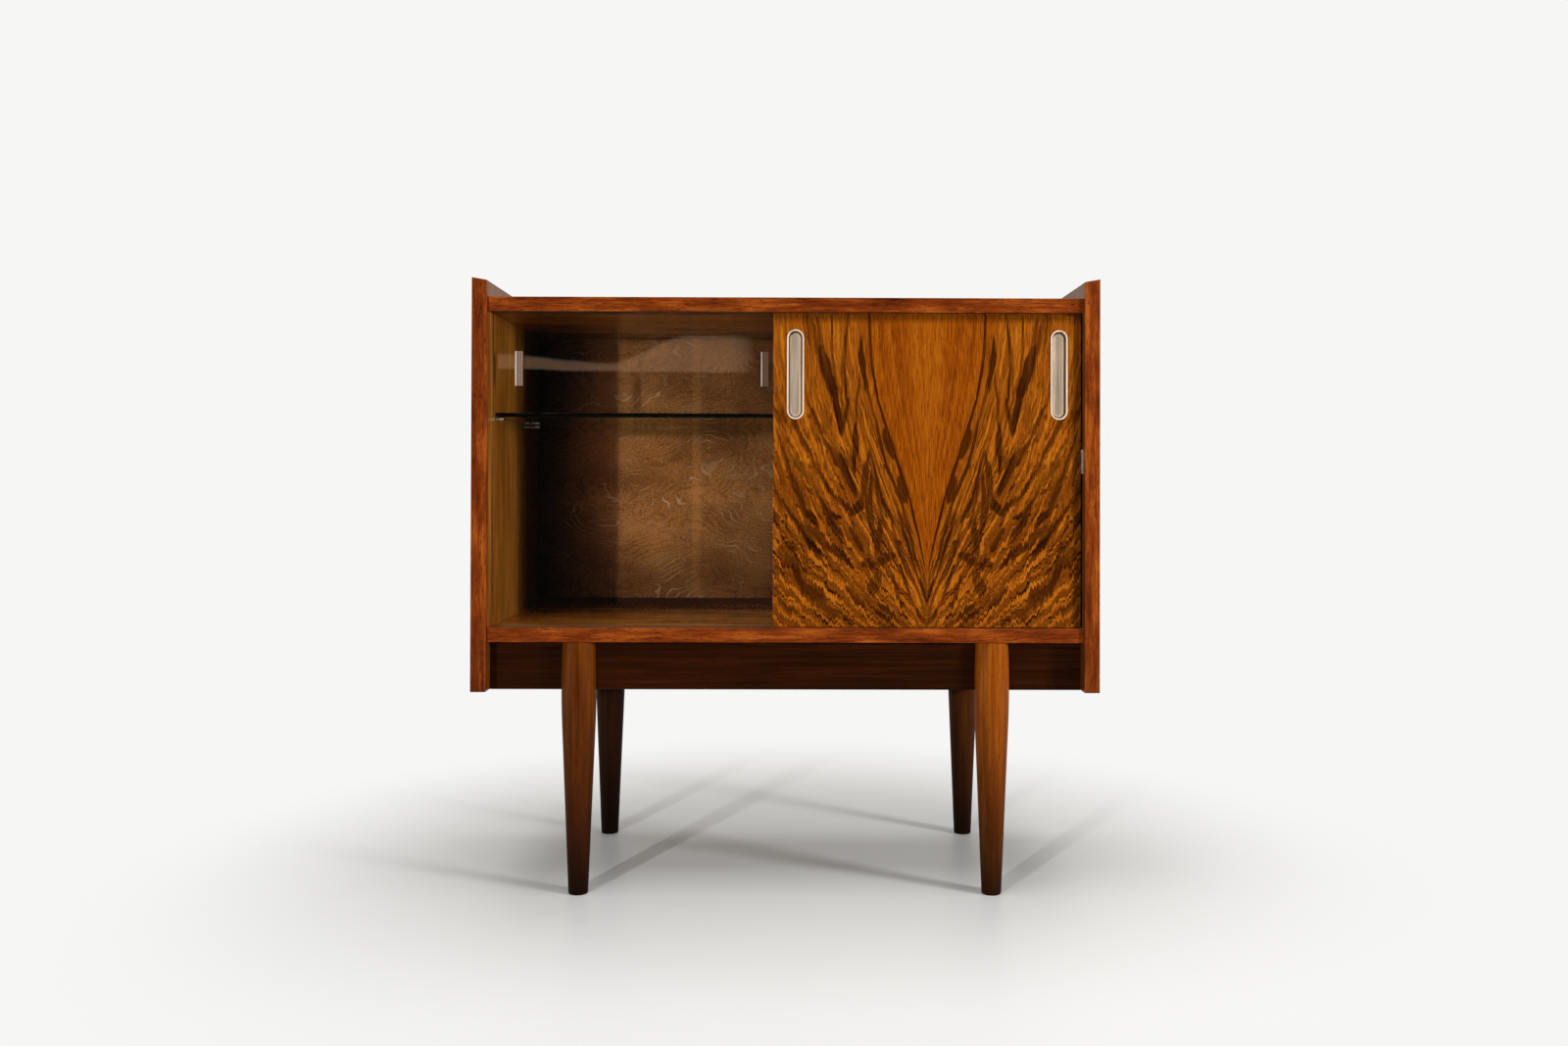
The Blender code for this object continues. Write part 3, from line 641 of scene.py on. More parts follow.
        # Scallops and teeth: the figure is pushed up and down from one fibre bundle to the next
        pushed = below
        for source, push in ((mirrored, self.scallop), (mirrored, self.teeth), (place, self.own)):
            pushed = push.apply(tree, pushed, source, outer)
        row = self.line_place(tree, self.sway.apply(tree, across, mirrored, wild), pushed)
        kept = add("Math", (row, self.least_place), operation="MAXIMUM")
        line = add("CombineXYZ", (add("Math", (kept, math.e), operation="LOGARITHM"), 0.0, below))
        streak, fine = marks(tree, line, self.streak), marks(tree, line, self.fine)
        fibre, pores = marks(tree, place, self.fibre), marks(tree, place, self.pores)
        ribbon = marks(tree, add("CombineXYZ", (row, 0.0, below)), self.ribbon)

        grainy = add("Mix", {0: self.grainy, 2: fine, 3: fibre})
        calm_tone = add("Math", (add("Mix", {0: self.ribboned, 2: fibre, 3: ribbon}),
                                 add("MapRange", (calm, *self.glow))), operation="ADD")
        plain = add("ValToRGB", (calm_tone,), stops=tuple(zip(self.tones[0], self.plain)))
        ground = add("ValToRGB", (grainy,), stops=tuple(zip(self.tones[1], self.figured)))
        ground = add("Mix", {0: wild, 6: plain, 7: ground}, **RGBA)

        # Smoky streaks, which are stronger away from the joint and the head, then the strokes
        smoke = add("MapRange", (streak, *self.smoke_range), interpolation_type="SMOOTHSTEP")
        where = add("Math", (wild, add("MapRange", (below, *self.full_below))), operation="MULTIPLY")
        smoke = add("Math", (smoke, where), operation="MULTIPLY")
        smoked = add("Mix", {0: smoke, 6: ground, 7: linear(self.smoke)}, **RGBA)
        dark = self.draw_strokes(tree, add("CombineXYZ", (row, pushed)))

        # A thin dark line follows the edge of each smoky streak
        rim = add("Math", (streak, HALF), operation="SUBTRACT")
        rim = add("MapRange", (add("Math", (rim,), operation="ABSOLUTE"), *self.rim))
        rim = add("Math", (rim, where), operation="MULTIPLY")
        dark = add("Math", (dark, rim), operation="MAXIMUM")
        vein = add("MapRange", (fine, *self.vein))
        dark = add("Math", (dark, vein), operation="MULTIPLY", use_clamp=True)
        inked = add("Mix", {0: dark, 6: smoked, 7: linear(self.ink)}, **RGBA)
        pored = open_grain(tree, inked, fibre, pores, self.pore, self.pore_share)
        top = add("MapRange", (below, *self.head_shade, self.edge_shade))
        side = add("MapRange", (off, *self.outer_edge, 1.0, self.edge_shade))
        lit = add("Math", (top, side), operation="MULTIPLY")
        shaded = add("Mix", {0: lit, 6: linear(SHADOW), 7: pored.colour}, **RGBA)
        self.lacquer.dress(tree, shader, pored._replace(colour=shaded))


@dataclass(frozen=True)
class RotaryPly(Finish):
    """Rotary-cut plywood: wide swirls of growth lines that the knife met at a low angle."""

    name: str
    shades: tuple[Shade, ...]
    base: str = "#b0723e"
    dark: str = "#70401c"
    line: str = "#d6a878"
    # Colour of the painted shade along the foot of the face inside
    foot: str = "#27130a"
    # Growth lines: rings to a metre of height, which swells of 280 by 140 mm draw together
    rings: float = 62.0
    swell: Layer = Layer((3.6, 1.0, 7.0), 4.0, 0.42)
    swell_rings: float = 42.0
    # A line's pale crest, the dark before it, and the patches of 70 by 40 mm in which lines show
    crest: tuple[float, float] = (0.55, 1.0)
    hollow: Ramp = (0.1, 0.55, 0.0, -0.05)
    broken: Layer = Layer((14.0, 1.0, 26.0), 4.0, 0.6)
    shown: Ramp = (0.45, 0.66, 0.0, 0.6)
    # Fibre of 3 by 1.4 mm, drawn coarser than the real one to show, and clouds of 110 by 70 mm
    fibre: Layer = Layer((330.0, 1.0, 700.0), 3.0, 0.7)
    cloud: Layer = Layer((9.0, 1.0, 14.0), 3.0)
    cloud_share: float = 0.4
    tones: tuple[float, float] = (0.42, 0.58)
    # The taped seam between two sheets of the face, lighter over a few millimetres
    seam_x: float = -0.142
    seam: Ramp = (0.004, 0.009, 0.05, 0.0)
    # Painted shade along the foot of the face inside, where it meets the bottom board: its top, uneven by
    # this much every 7 mm, and the middle of the sheet's thickness
    foot_z: float = 0.363
    tear: Layer = Layer((150.0, 1.0, 1.0), 3.0)
    torn: float = 0.004
    middle_y: float = 0.174
    relief: float = 0.0002
    roughness: float = 0.5
    gloss: float = 0.02

    def dress(self, tree: Tree, shader: Node) -> None:
        """Dress the shader with the swirls, the taped seam, the painted shades and the painted shade along
        the foot.

        Args:
            tree: The material's node tree.
            shader: Its Principled shader.
        """
        add = partial(add_node, tree)
        place = add("TexCoord", take="Object")
        split = add("SeparateXYZ", (place,)).node.outputs
        rise = add("Math", (split["Z"], self.rings), operation="MULTIPLY")
        height = add("Math", (marks(tree, place, self.swell), self.swell_rings, rise),
                     operation="MULTIPLY_ADD")
        ring = add("Math", (add("Math", (height, 2 * math.pi), operation="MULTIPLY"),), operation="SINE")
        shown = add("MapRange", (marks(tree, place, self.broken), *self.shown))
        drawn = add("Math", (add("MapRange", (ring, *self.crest)), shown), operation="MULTIPLY")
        fibre = marks(tree, place, self.fibre)
        seam = add("Math", (split["X"], self.seam_x), operation="SUBTRACT")
        seam = add("MapRange", (add("Math", (seam,), operation="ABSOLUTE"), *self.seam))
        shade = add("Mix", {0: self.cloud_share, 2: fibre, 3: marks(tree, place, self.cloud)})
        for change in (add("MapRange", (ring, *self.hollow)), seam):
            shade = add("Math", (shade, change), operation="ADD")
        ground = add("ValToRGB", (shade,), stops=tuple(zip(self.tones, (self.dark, self.base))))
        lined = add("Mix", {0: drawn, 6: ground, 7: linear(self.line)}, **RGBA)

        # Only the face inside gets the painted shades, and the painted shade along its foot has an uneven
        # top
        torn = add("Math", (marks(tree, place, self.tear), self.torn, split["Z"]), operation="MULTIPLY_ADD")
        inside = add("Math", (split["Y"], self.middle_y), operation="LESS_THAN")
        foot = add("Math", (add("Math", (torn, self.foot_z), operation="LESS_THAN"), inside),
                   operation="MULTIPLY")
        shaded_inside = add("Mix", {0: inside, 6: lined, 7: paint_shade(tree, place, lined, self.shades)}, **RGBA)
        feed(tree, shader, {
            "Base Color": add("Mix", {0: foot, 6: shaded_inside, 7: linear(self.foot)}, **RGBA),
            "Normal": add("Bump", {"Height": fibre, "Strength": 0.4, "Distance": self.relief}),
            "Roughness": self.roughness, "Specular IOR Level": self.gloss})


@dataclass(frozen=True)
class FloatGlass(Finish):
    """Clear sheet glass, faintly green through its depth and not quite flat."""

    name: str
    tint: str = "#9fd6b4"
    depth: float = 9.0
    # Height of the waves, and their number to a metre: each is 110 mm wide
    wave: float = 0.00004
    wave_scale: float = 9.0
    index: float = 1.52
    shadow: str = "#f5f7f5"

    def dress(self, tree: Tree, shader: Node) -> None:
        """Dress the shader as glass that lets lamplight through.

        Args:
            tree: The material's node tree.
            shader: Its Principled shader.
        """
        add = partial(add_node, tree)
        swell = add("TexNoise", {"Vector": add("TexCoord", take="Object"), "Scale": self.wave_scale,
                                 "Detail": 1.0})
        bump = add("Bump", {"Height": swell, "Strength": 1.0, "Distance": self.wave})
        feed(tree, shader, {"Base Color": (1.0, 1.0, 1.0, 1.0), "Roughness": 0.0, "IOR": self.index,
                            "Transmission Weight": 1.0, "Normal": bump})
        clear = add("BsdfTransparent", {"Color": linear(self.shadow)})
        feed(tree, tree.nodes["Material Output"], {
            "Surface": add("MixShader", (add("LightPath", take="Is Shadow Ray"), shader.outputs[0], clear)),
            "Volume": add("VolumeAbsorption", {"Color": linear(self.tint), "Density": self.depth})})


@dataclass(frozen=True)
class GroundGlass(Finish):
    """Glass strip with a ground back and edges, with a painted highlight on its left edge and painted shade
    across the rest.
    """

    name: str
    # Left edge of each strip, their width, and the tones across it: a painted highlight at the left edge and
    # painted shade across the rest
    left_edges: tuple[float, float] = (-0.35875, -0.03375)
    width: float = 0.0095
    across: Stops = ((0.0, "#fff4e8"), (0.16, "#f4d8c4"), (0.21, "#4c3426"), (0.3, "#6e5040"),
                     (0.7, "#86664f"), (0.88, "#5e4433"), (0.95, "#b0917c"))
    # Traces of the grinding, 6 by 17 mm, drawn far coarser than its grit to show
    cloud: Layer = Layer((180.0, 180.0, 60.0), 3.0)
    relief: float = 0.0001
    roughness: float = 0.3
    transmission: float = 0.25

    def dress(self, tree: Tree, shader: Node) -> None:
        """Dress the shader as pale half-clear glass with a painted highlight on its left edge and painted
        shade across it.

        Args:
            tree: The material's node tree.
            shader: Its Principled shader.
        """
        add = partial(add_node, tree)
        place = add("TexCoord", take="Object")
        x = add("SeparateXYZ", (place,), "X")
        left, right = self.left_edges
        second = add("Math", (x, (left + right) / 2), operation="GREATER_THAN")
        shift = add("Math", (second, left - right, -left), operation="MULTIPLY_ADD")
        inward = add("Math", (x, shift), operation="ADD")
        share = add("Math", (inward, self.width), operation="DIVIDE")
        feed(tree, shader, {
            "Base Color": add("ValToRGB", (share,), stops=self.across),
            "Normal": add("Bump", {"Height": marks(tree, place, self.cloud), "Strength": 0.3,
                                   "Distance": self.relief}),
            "Roughness": self.roughness, "Transmission Weight": self.transmission})


@dataclass(frozen=True)
class Metal(Finish):
    """Bright metal with fine drawing lines and cloudy handling marks."""

    name: str
    colour: str
    roughness: float
    # Lines to a metre of each axis: 1 or 2 mm wide, drawn coarser than real scratches to show
    lines: Triple
    metallic: float = 1.0
    dim: float = 0.3
    tarnish: str = "#6f6a62"
    relief: float = 0.00002
    # Handling marks of 9 by 17 mm
    cloud: Triple = (110.0, 110.0, 60.0)
    # Places on Y between which tones change the colour, where the metal has them; the tones paint shade on
    # the wall of a cup
    depths: tuple[float, float] = (0.0, 1.0)
    tones: Stops = ()
    # How much smoother and rougher than its roughness wear leaves the metal
    wear: tuple[float, float] = (-0.05, 0.07)

    def dress(self, tree: Tree, shader: Node) -> None:
        """Dress the shader as this metal, with painted shade by depth if it has tones for its depths.

        Args:
            tree: The material's node tree.
            shader: Its Principled shader.
        """
        add = partial(add_node, tree)
        place = add("TexCoord", take="Object")
        drawn, cloud = marks(tree, place, Layer(self.lines)), marks(tree, place, Layer(self.cloud, 3.0))
        worn = add("Mix", {0: 0.5, 2: drawn, 3: cloud})
        rough = add("MapRange", (worn, 0.3, 0.7, *(self.roughness + change for change in self.wear)))
        dim = add("MapRange", (cloud, 0.3, 0.6, self.dim, 0.0))
        colour = add("Mix", {0: dim, 6: linear(self.colour), 7: linear(self.tarnish)}, **RGBA)
        # Painted shade on the wall of a cup, by its depth
        if self.tones:
            share = add("MapRange", (add("SeparateXYZ", (place,), "Y"), *self.depths))
            tone = add("ValToRGB", (share,), stops=self.tones)
            colour = add("Mix", {0: 1.0, 6: colour, 7: tone}, blend_type="MULTIPLY", **RGBA)
        bump = add("Bump", {"Height": drawn, "Strength": 0.3, "Distance": self.relief})
        feed(tree, shader, {"Base Color": colour, "Roughness": rough, "Normal": bump,
                            "Metallic": self.metallic})


@dataclass(frozen=True)
class Plastic(Finish):
    """Moulded or extruded plastic with a fine skin texture and a little dust."""

    name: str
    colour: str
    dust: str
    roughness: float = 0.45
    # Skin texture of 0.7 mm, drawn coarser than the real one to show, and dust in 25 by 5 mm
    skin: Layer = Layer((1400.0, 1400.0, 1400.0))
    cloud: Layer = Layer((40.0, 200.0, 200.0), 3.0)
    dusty: Ramp = (0.45, 0.7, 0.0, 0.35)
    relief: float = 0.00003

    def dress(self, tree: Tree, shader: Node) -> None:
        """Dress the shader as this plastic.

        Args:
            tree: The material's node tree.
            shader: Its Principled shader.
        """
        add = partial(add_node, tree)
        place = add("TexCoord", take="Object")
        dusty = add("MapRange", (marks(tree, place, self.cloud), *self.dusty))
        feed(tree, shader, {
            "Base Color": add("Mix", {0: dusty, 6: linear(self.colour), 7: linear(self.dust)}, **RGBA),
            "Roughness": add("Math", (dusty, 0.5, self.roughness), operation="MULTIPLY_ADD"),
            "Normal": add("Bump", {"Height": marks(tree, place, self.skin), "Strength": 0.25,
                                   "Distance": self.relief})})


# Modelling with operators

# How far a cutter reaches past the piece that it cuts
CLEAR = 0.001
# Ends and hands of the cabinet, with their signs on Y and X
ENDS = (("front", -1), ("back", 1))
HANDS = (("left", -1), ("right", 1))


def even_steps(end: float, count: int) -> list[float]:
    """Values from 0 to an end, in equal steps."""
    return [end * step / count for step in range(count + 1)]


def deselect_all() -> None:
    """Leave object mode's selection empty."""
    bpy.ops.object.select_all(action="DESELECT")


def choose(piece: Piece) -> None:
    """Make one object the selected and active one.

    Args:
        piece: The object.
    """
    deselect_all()
    piece.select_set(True)
    bpy.context.view_layer.objects.active = piece


def smooth(piece: Piece, degrees: float) -> None:
    """Shade a piece smooth over edges that bend by less than this angle."""
    choose(piece)
    bpy.ops.object.shade_smooth_by_angle(angle=math.radians(degrees))


def apply_modifier(piece: Piece, kind: str, **settings: str | float | bool | Piece) -> None:
    """Finish a piece with one modifier.

    Args:
        piece: The piece.
        kind: Type of the modifier.
        settings: Properties of the modifier.
    """
    choose(piece)
    modifier = piece.modifiers.new(kind, kind)
    for name, value in settings.items():
        setattr(modifier, name, value)
    bpy.ops.object.modifier_apply(modifier=modifier.name)


def turn_shape(profile: list[tuple[float, float]], sides: int) -> Piece:
    """Model a turned shape on the Z axis, ring by ring, and close its two ends.

    Args:
        profile: Radius and height of each ring, from the lowest to the highest.
        sides: Number of points of a ring.

    Returns:
        The active object, in object mode.
    """
    deselect_all()
    radius, height = profile[0]
    bpy.ops.mesh.primitive_circle_add(vertices=sides, radius=radius, location=(0.0, 0.0, height))
    piece = bpy.context.object
    bpy.ops.object.mode_set(mode="EDIT")
    bpy.ops.mesh.select_all(action="SELECT")
    bpy.ops.mesh.edge_face_add()
    for wider, higher in profile[1:]:
        bpy.ops.mesh.extrude_region_move(TRANSFORM_OT_translate={"value": (0.0, 0.0, higher - height)})
        factor = wider / radius
        bpy.ops.transform.resize(value=(factor, factor, 1.0), center_override=(0.0, 0.0, 0.0))
        radius, height = wider, higher
    bpy.ops.mesh.select_all(action="SELECT")
    bpy.ops.mesh.normals_make_consistent(inside=False)
    bpy.ops.object.mode_set(mode="OBJECT")
    bpy.ops.object.transform_apply(location=True, rotation=True, scale=True)
    return piece


def cut_block(piece: Piece, low: Triple, high: Triple) -> None:
    """Cut a block between two corners out of a piece.

    Args:
        piece: Object that keeps the rest.
        low: Lowest corner of the block.
        high: Highest corner of the block.
    """
    deselect_all()
    centre = [(a + b) / 2 for a, b in zip(low, high)]
    size = [b - a for a, b in zip(low, high)]
    bpy.ops.mesh.primitive_cube_add(size=1.0, location=centre, scale=size)
    cutter = bpy.context.object
    apply_modifier(piece, "BOOLEAN", operation="DIFFERENCE", solver="EXACT", object=cutter)
    bpy.data.objects.remove(cutter, do_unlink=True)


def copy_to(piece: Piece, place: Matrix) -> Piece:
    """Copy a finished piece, with its own mesh, to another place.

    Args:
        piece: Finished piece at the origin.
        place: Transform from the piece to its copy.

    Returns:
        The copy, with its place in its mesh.
    """
    twin = piece.copy()
    twin.data = piece.data.copy()
    bpy.context.scene.collection.objects.link(twin)
    twin.data.transform(place)
    return twin


def hand_over(piece: Piece, name: str, material: Material, body: str,
              replaced: tuple[str, ...] = ()) -> None:
    """Name a finished piece, dress it, and tie it to the frame.

    Args:
        piece: The finished piece.
        name: Its name in the table of pieces.
        material: Its finish.
        body: CAD body that carries it.
        replaced: CAD nodes that it stands for.
    """
    piece.name = name
    piece.data.name = name
    piece.data.materials.clear()
    piece.data.materials.append(material)
    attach(piece, body)
    if replaced:
        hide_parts(*replaced)
    LOG.info("%s: %d faces on %s", name, len(piece.data.polygons), body)


@dataclass
class TurnedLegs:
    """Four turned legs, each lapped over the outer face of an apron."""

    body: str = "carcass"
    axis_x: float = 0.2725
    axis_y: float = 0.153
    length: float = 0.3322
    foot_diameter: float = 0.0258
    foot_round: float = 0.0022
    taper_rings: Triple = (0.05, 0.11, 0.17)
    shoulder_diameter: float = 0.0438
    shoulder_height: float = 0.221
    belly_rise: float = 0.051
    top_round: float = 0.0016
    lap_y: float = 0.1543
    lap_z: float = 0.2677
    sides: int = 96
    arc_steps: int = 5
    swell_steps: int = 16

    def radius_at(self, height: float) -> float:
        """Radius of the leg: a straight taper, then a soft swell.

        Args:
            height: Height over the floor.

        Returns:
            The radius.
        """
        taper = (self.shoulder_diameter - self.foot_diameter) / self.shoulder_height
        above = max(0.0, height - self.shoulder_height)
        swell = taper * above * above / (2 * self.belly_rise)
        return (self.foot_diameter + taper * height - swell) / 2

    def profile(self) -> list[tuple[float, float]]:
        """Find the rings of the leg.

        Returns:
            Radius and height of each ring, from the rounded foot to the eased top.
        """
        quarter = even_steps(math.pi / 2, self.arc_steps)
        last = self.length - self.top_round
        swell = even_steps(last - self.shoulder_height, self.swell_steps)
        insets = [(self.foot_round * (1 - math.cos(turn)), self.foot_round * (1 - math.sin(turn)))
                  for turn in quarter]
        insets += [(height, 0.0) for height in self.taper_rings]
        insets += [(self.shoulder_height + rise, 0.0) for rise in swell]
        insets += [(last + self.top_round * math.sin(turn), self.top_round * (1 - math.cos(turn)))
                   for turn in quarter[1:]]
        return [(self.radius_at(height) - inset, height) for height, inset in insets]

    def build(self, material: Material) -> None:
        """Turn one leg, cut its lap, and copy it to the four corners.

        Args:
            material: Finish of the legs.
        """
        leg = turn_shape(self.profile(), self.sides)
        reach = self.shoulder_diameter
        lap = self.axis_y - self.lap_y
        cut_block(leg, (-reach, lap, self.lap_z), (reach, lap + 2 * reach, self.length + CLEAR))
        smooth(leg, 40)
        for end, sign in ENDS:
            for hand, side in HANDS:
                place = Matrix.Translation((side * self.axis_x, sign * self.axis_y, 0.0))
                twin = copy_to(leg, place @ Matrix.Rotation(math.pi * (sign + 1) / 2, 4, "Z"))
                node = f"leg_{end}_{hand}"
                hand_over(twin, f"turned_{node}", material, self.body, (node,))
        bpy.data.objects.remove(leg, do_unlink=True)


@dataclass
class FingerPulls:
    """Two pressed cups with rolled rims, sunk into the wooden door."""

    body: str = "wooden_door"
    face_y: float = -0.1701
    middle_z: float = 0.6833
    centres_x: tuple[float, float] = (0.0119, 0.3579)
    width: float = 0.0225
    length: float = 0.118
    rim: float = 0.0022
    rim_rise: float = 0.0011
    depth: float = 0.008
    wall: float = 0.0009
    # How far the cup narrows before its fillet, and the flat ring round its floor
    draft: float = 0.00015
    fillet: float = 0.0048
    floor_ring: float = 0.0012
    air: float = 0.0003
    sides: int = 96
    steps: int = 8

    def arc(self, end: float, inset: float, lift: float) -> list[tuple[float, float]]:
        """Divide an arc of the section into steps.

        Args:
            end: Angle at which the arc ends.
            inset: Radius of the arc inwards.
            lift: Radius of the arc outwards from the door.

        Returns:
            Inset and lift of each step.
        """
        turns = even_steps(end, self.steps)
        return [(inset * (math.cos(now) - math.cos(then)), lift * (math.sin(then) - math.sin(now)))
                for now, then in zip(turns, turns[1:])]

    def insets(self) -> list[tuple[float, float]]:
        """Inset and lift of each step, from the rim's outer edge over its crest to the cup's floor."""
        return [*self.arc(math.pi, self.rim / 2, self.rim_rise), (self.draft, self.fillet - self.depth),
                *self.arc(math.pi / 2, self.fillet, -self.fillet), (self.floor_ring, 0.0)]

    def build(self, material: Material) -> None:
        """Press one cup and copy it to both ends of the door.

        Args:
            material: Finish of the cups.
        """
        deselect_all()
        half_step = math.pi / self.sides
        bpy.ops.mesh.primitive_circle_add(vertices=self.sides, radius=self.width / 2, fill_type="NGON",
                                          location=(0.0, 0.0, 0.0), rotation=(math.pi / 2, half_step, 0.0))
        cup = bpy.context.object
        bpy.ops.object.transform_apply(location=True, rotation=True, scale=True)
        straight = (self.length - self.width) / 2
        for sign in (-1, 1):
            for part in (cup.data.polygons, cup.data.edges):
                part.foreach_set("select", [False] * len(part))
            for vertex in cup.data.vertices:
                vertex.select = vertex.co.z * sign > 0
            bpy.ops.object.mode_set(mode="EDIT")
            bpy.ops.transform.translate(value=(0.0, 0.0, sign * straight))
            bpy.ops.object.mode_set(mode="OBJECT")
        bpy.ops.object.mode_set(mode="EDIT")
        bpy.ops.mesh.select_all(action="SELECT")
        for thickness, depth in self.insets():
            bpy.ops.mesh.inset(thickness=thickness, depth=depth)
        bpy.ops.object.mode_set(mode="OBJECT")
        apply_modifier(cup, "SOLIDIFY", thickness=self.wall, offset=-1.0)
        smooth(cup, 45)
        for (hand, _), x in zip(HANDS, self.centres_x):
            twin = copy_to(cup, Matrix.Translation((x, self.face_y - self.air, self.middle_z)))
            hand_over(twin, f"pressed_pull_{hand}", material, self.body, (f"door_pull_{hand}",))
        bpy.data.objects.remove(cup, do_unlink=True)


@dataclass
class ShelfPins:
    """Four bright pins with a thin collar, two in each side panel."""

    body: str = "carcass"
    inner_x: float = 0.390
    ends_y: tuple[float, float] = (-0.124, 0.128)
    axis_z: float = 0.6247
    diameter: float = 0.005
    collar_diameter: float = 0.0075
    collar: float = 0.0012
    reach: float = 0.011
    depth: float = 0.009
    air: float = 0.0003
    # Rounding of the collar and the tip, and the share of it that is gone at its middle
    ease: float = 0.0005
    eased: float = 0.3
    sides: int = 32

    def profile(self) -> list[tuple[float, float]]:
        """Find the rings of the pin.

        Returns:
            Radius of each ring and its distance from the side panel's face.
        """
        pin, collar, ease = self.diameter / 2, self.collar_diameter / 2, self.ease
        start, end, gone = self.air, self.air + self.collar, ease * self.eased
        return [(pin, -self.depth), (pin, start), (collar - ease / 2, start), (collar, start + ease / 2),
                (collar, end - ease / 2), (collar - ease / 2, end), (pin, end), (pin, self.reach - ease),
                (pin - gone, self.reach - gone), (pin - ease, self.reach)]

    def build(self, material: Material) -> None:
        """Turn one pin and copy it to its four holes.

        Args:
            material: Finish of the pins.
        """
        pin = turn_shape(self.profile(), self.sides)
        smooth(pin, 40)
        for hand, side in HANDS:
            for (end, _), y in zip(ENDS, self.ends_y):
                place = Matrix.Translation((side * self.inner_x, y, self.axis_z))
                twin = copy_to(pin, place @ Matrix.Rotation(-side * math.pi / 2, 4, "Y"))
                node = f"shelf_pin_{end}_{hand}"
                hand_over(twin, f"turned_{node}", material, self.body, (node,))
        bpy.data.objects.remove(pin, do_unlink=True)


@dataclass
class LegScrews:
    """Slotted countersunk screws, two through the apron into each leg."""

    body: str = "carcass"
    axis_x: float = 0.2725
    head_y: float = 0.136
    heights: tuple[tuple[str, float], ...] = (("lower", 0.286), ("upper", 0.3145))
    head_diameter: float = 0.0095
    head_height: float = 0.0028
    diameter: float = 0.005
    length: float = 0.034
    tip: float = 0.005
    tip_diameter: float = 0.0012
    slot_width: float = 0.0012
    slot_depth: float = 0.0011
    # The slot's length against the head
    slot_reach: float = 1.2
    # Angle at which a slot stopped, and what row, hand and end add, so that the slots differ
    stop: float = 0.7
    stop_changes: Triple = (1.9, 0.8, 0.5)
    sides: int = 32

    def build(self, material: Material) -> None:
        """Model one screw with its slot and copy it to its eight bores.

        Args:
            material: Finish of the screws.
        """
        head, shank = self.head_diameter / 2, self.diameter / 2
        screw = turn_shape([(head, 0.0), (shank, self.head_height), (shank, self.length - self.tip),
                            (self.tip_diameter / 2, self.length)], self.sides)
        slot_x, slot_y = head * self.slot_reach, self.slot_width / 2
        cut_block(screw, (-slot_x, -slot_y, -CLEAR), (slot_x, slot_y, self.slot_depth))
        smooth(screw, 40)
        by_row, by_hand, by_end = self.stop_changes
        for end, sign in ENDS:
            for hand, side in HANDS:
                for number, (row, height) in enumerate(self.heights):
                    place = Matrix.Translation((side * self.axis_x, sign * self.head_y, height))
                    lie = Matrix.Rotation(-sign * math.pi / 2, 4, "X")
                    stop = self.stop + by_row * number + by_hand * side + by_end * sign
                    twin = copy_to(screw, place @ lie @ Matrix.Rotation(stop, 4, "Z"))
                    node = f"leg_screw_{end}_{hand}_{row}"
                    hand_over(twin, f"slotted_{node}", material, self.body, (node,))
        bpy.data.objects.remove(screw, do_unlink=True)


@dataclass
class BackNails:
    """Small domed nails round the edge of the plywood back."""

    body: str = "carcass"
    back_y: float = 0.176
    edge_x: float = 0.394
    rows_z: tuple[float, float] = (0.342, 0.774)
    diameter: float = 0.0034
    rise: float = 0.0009
    # Shares of the radius and the rise at each ring of the head
    dome: tuple[tuple[float, float], ...] = ((1.0, 0.0), (0.92, 0.55), (0.6, 0.9), (0.2, 1.0))
    across: int = 7
    down: int = 4
    sides: int = 12

    def build(self, material: Material) -> None:
        """Model one nail head and set a row of it along each edge of the back.

        Args:
            material: Finish of the nails.
        """
        head = turn_shape([(self.diameter / 2 * wide, self.rise * high) for wide, high in self.dome],
                          self.sides)
        smooth(head, 60)
        low, high = self.rows_z
        columns = [self.edge_x * (2 * k / (self.across - 1) - 1) for k in range(self.across)]
        places = [(x, z) for x in columns for z in self.rows_z]
        places += [(side * self.edge_x, low + rise) for _, side in HANDS
                   for rise in even_steps(high - low, self.down + 1)[1:-1]]
        lie = Matrix.Rotation(-math.pi / 2, 4, "X")
        nails = [copy_to(head, Matrix.Translation((x, self.back_y, z)) @ lie) for x, z in places]
        bpy.data.objects.remove(head, do_unlink=True)
        choose(nails[0])
        for nail in nails:
            nail.select_set(True)
        bpy.ops.object.join()
        hand_over(bpy.context.object, "back_nails", material, self.body)


# Finish of each CAD node by the start of its name, where the first that fits counts
FINISH_OF = (
    ("side_lipping", "edge_upright"), ("top_lipping", "edge_across"), ("bottom_lipping", "edge_across"),
    ("side_panel", "side"), ("top_panel", "board"), ("bottom_panel", "board"), ("back_panel", "ply"),
    ("door_track", "channel"), ("glass_track", "channel"), ("apron", "apron"), ("dowel", "dowel"),
    ("wooden_door", "door"), ("door_buffer", "buffer"), ("glass_shelf", "shelf_glass"),
    ("glass_grip", "grip"), ("glass_door", "door_glass"), ("leg_screw", "screw"), ("leg_", "leg"),
    ("shelf_pin", "pin"), ("door_pull", "pull"))


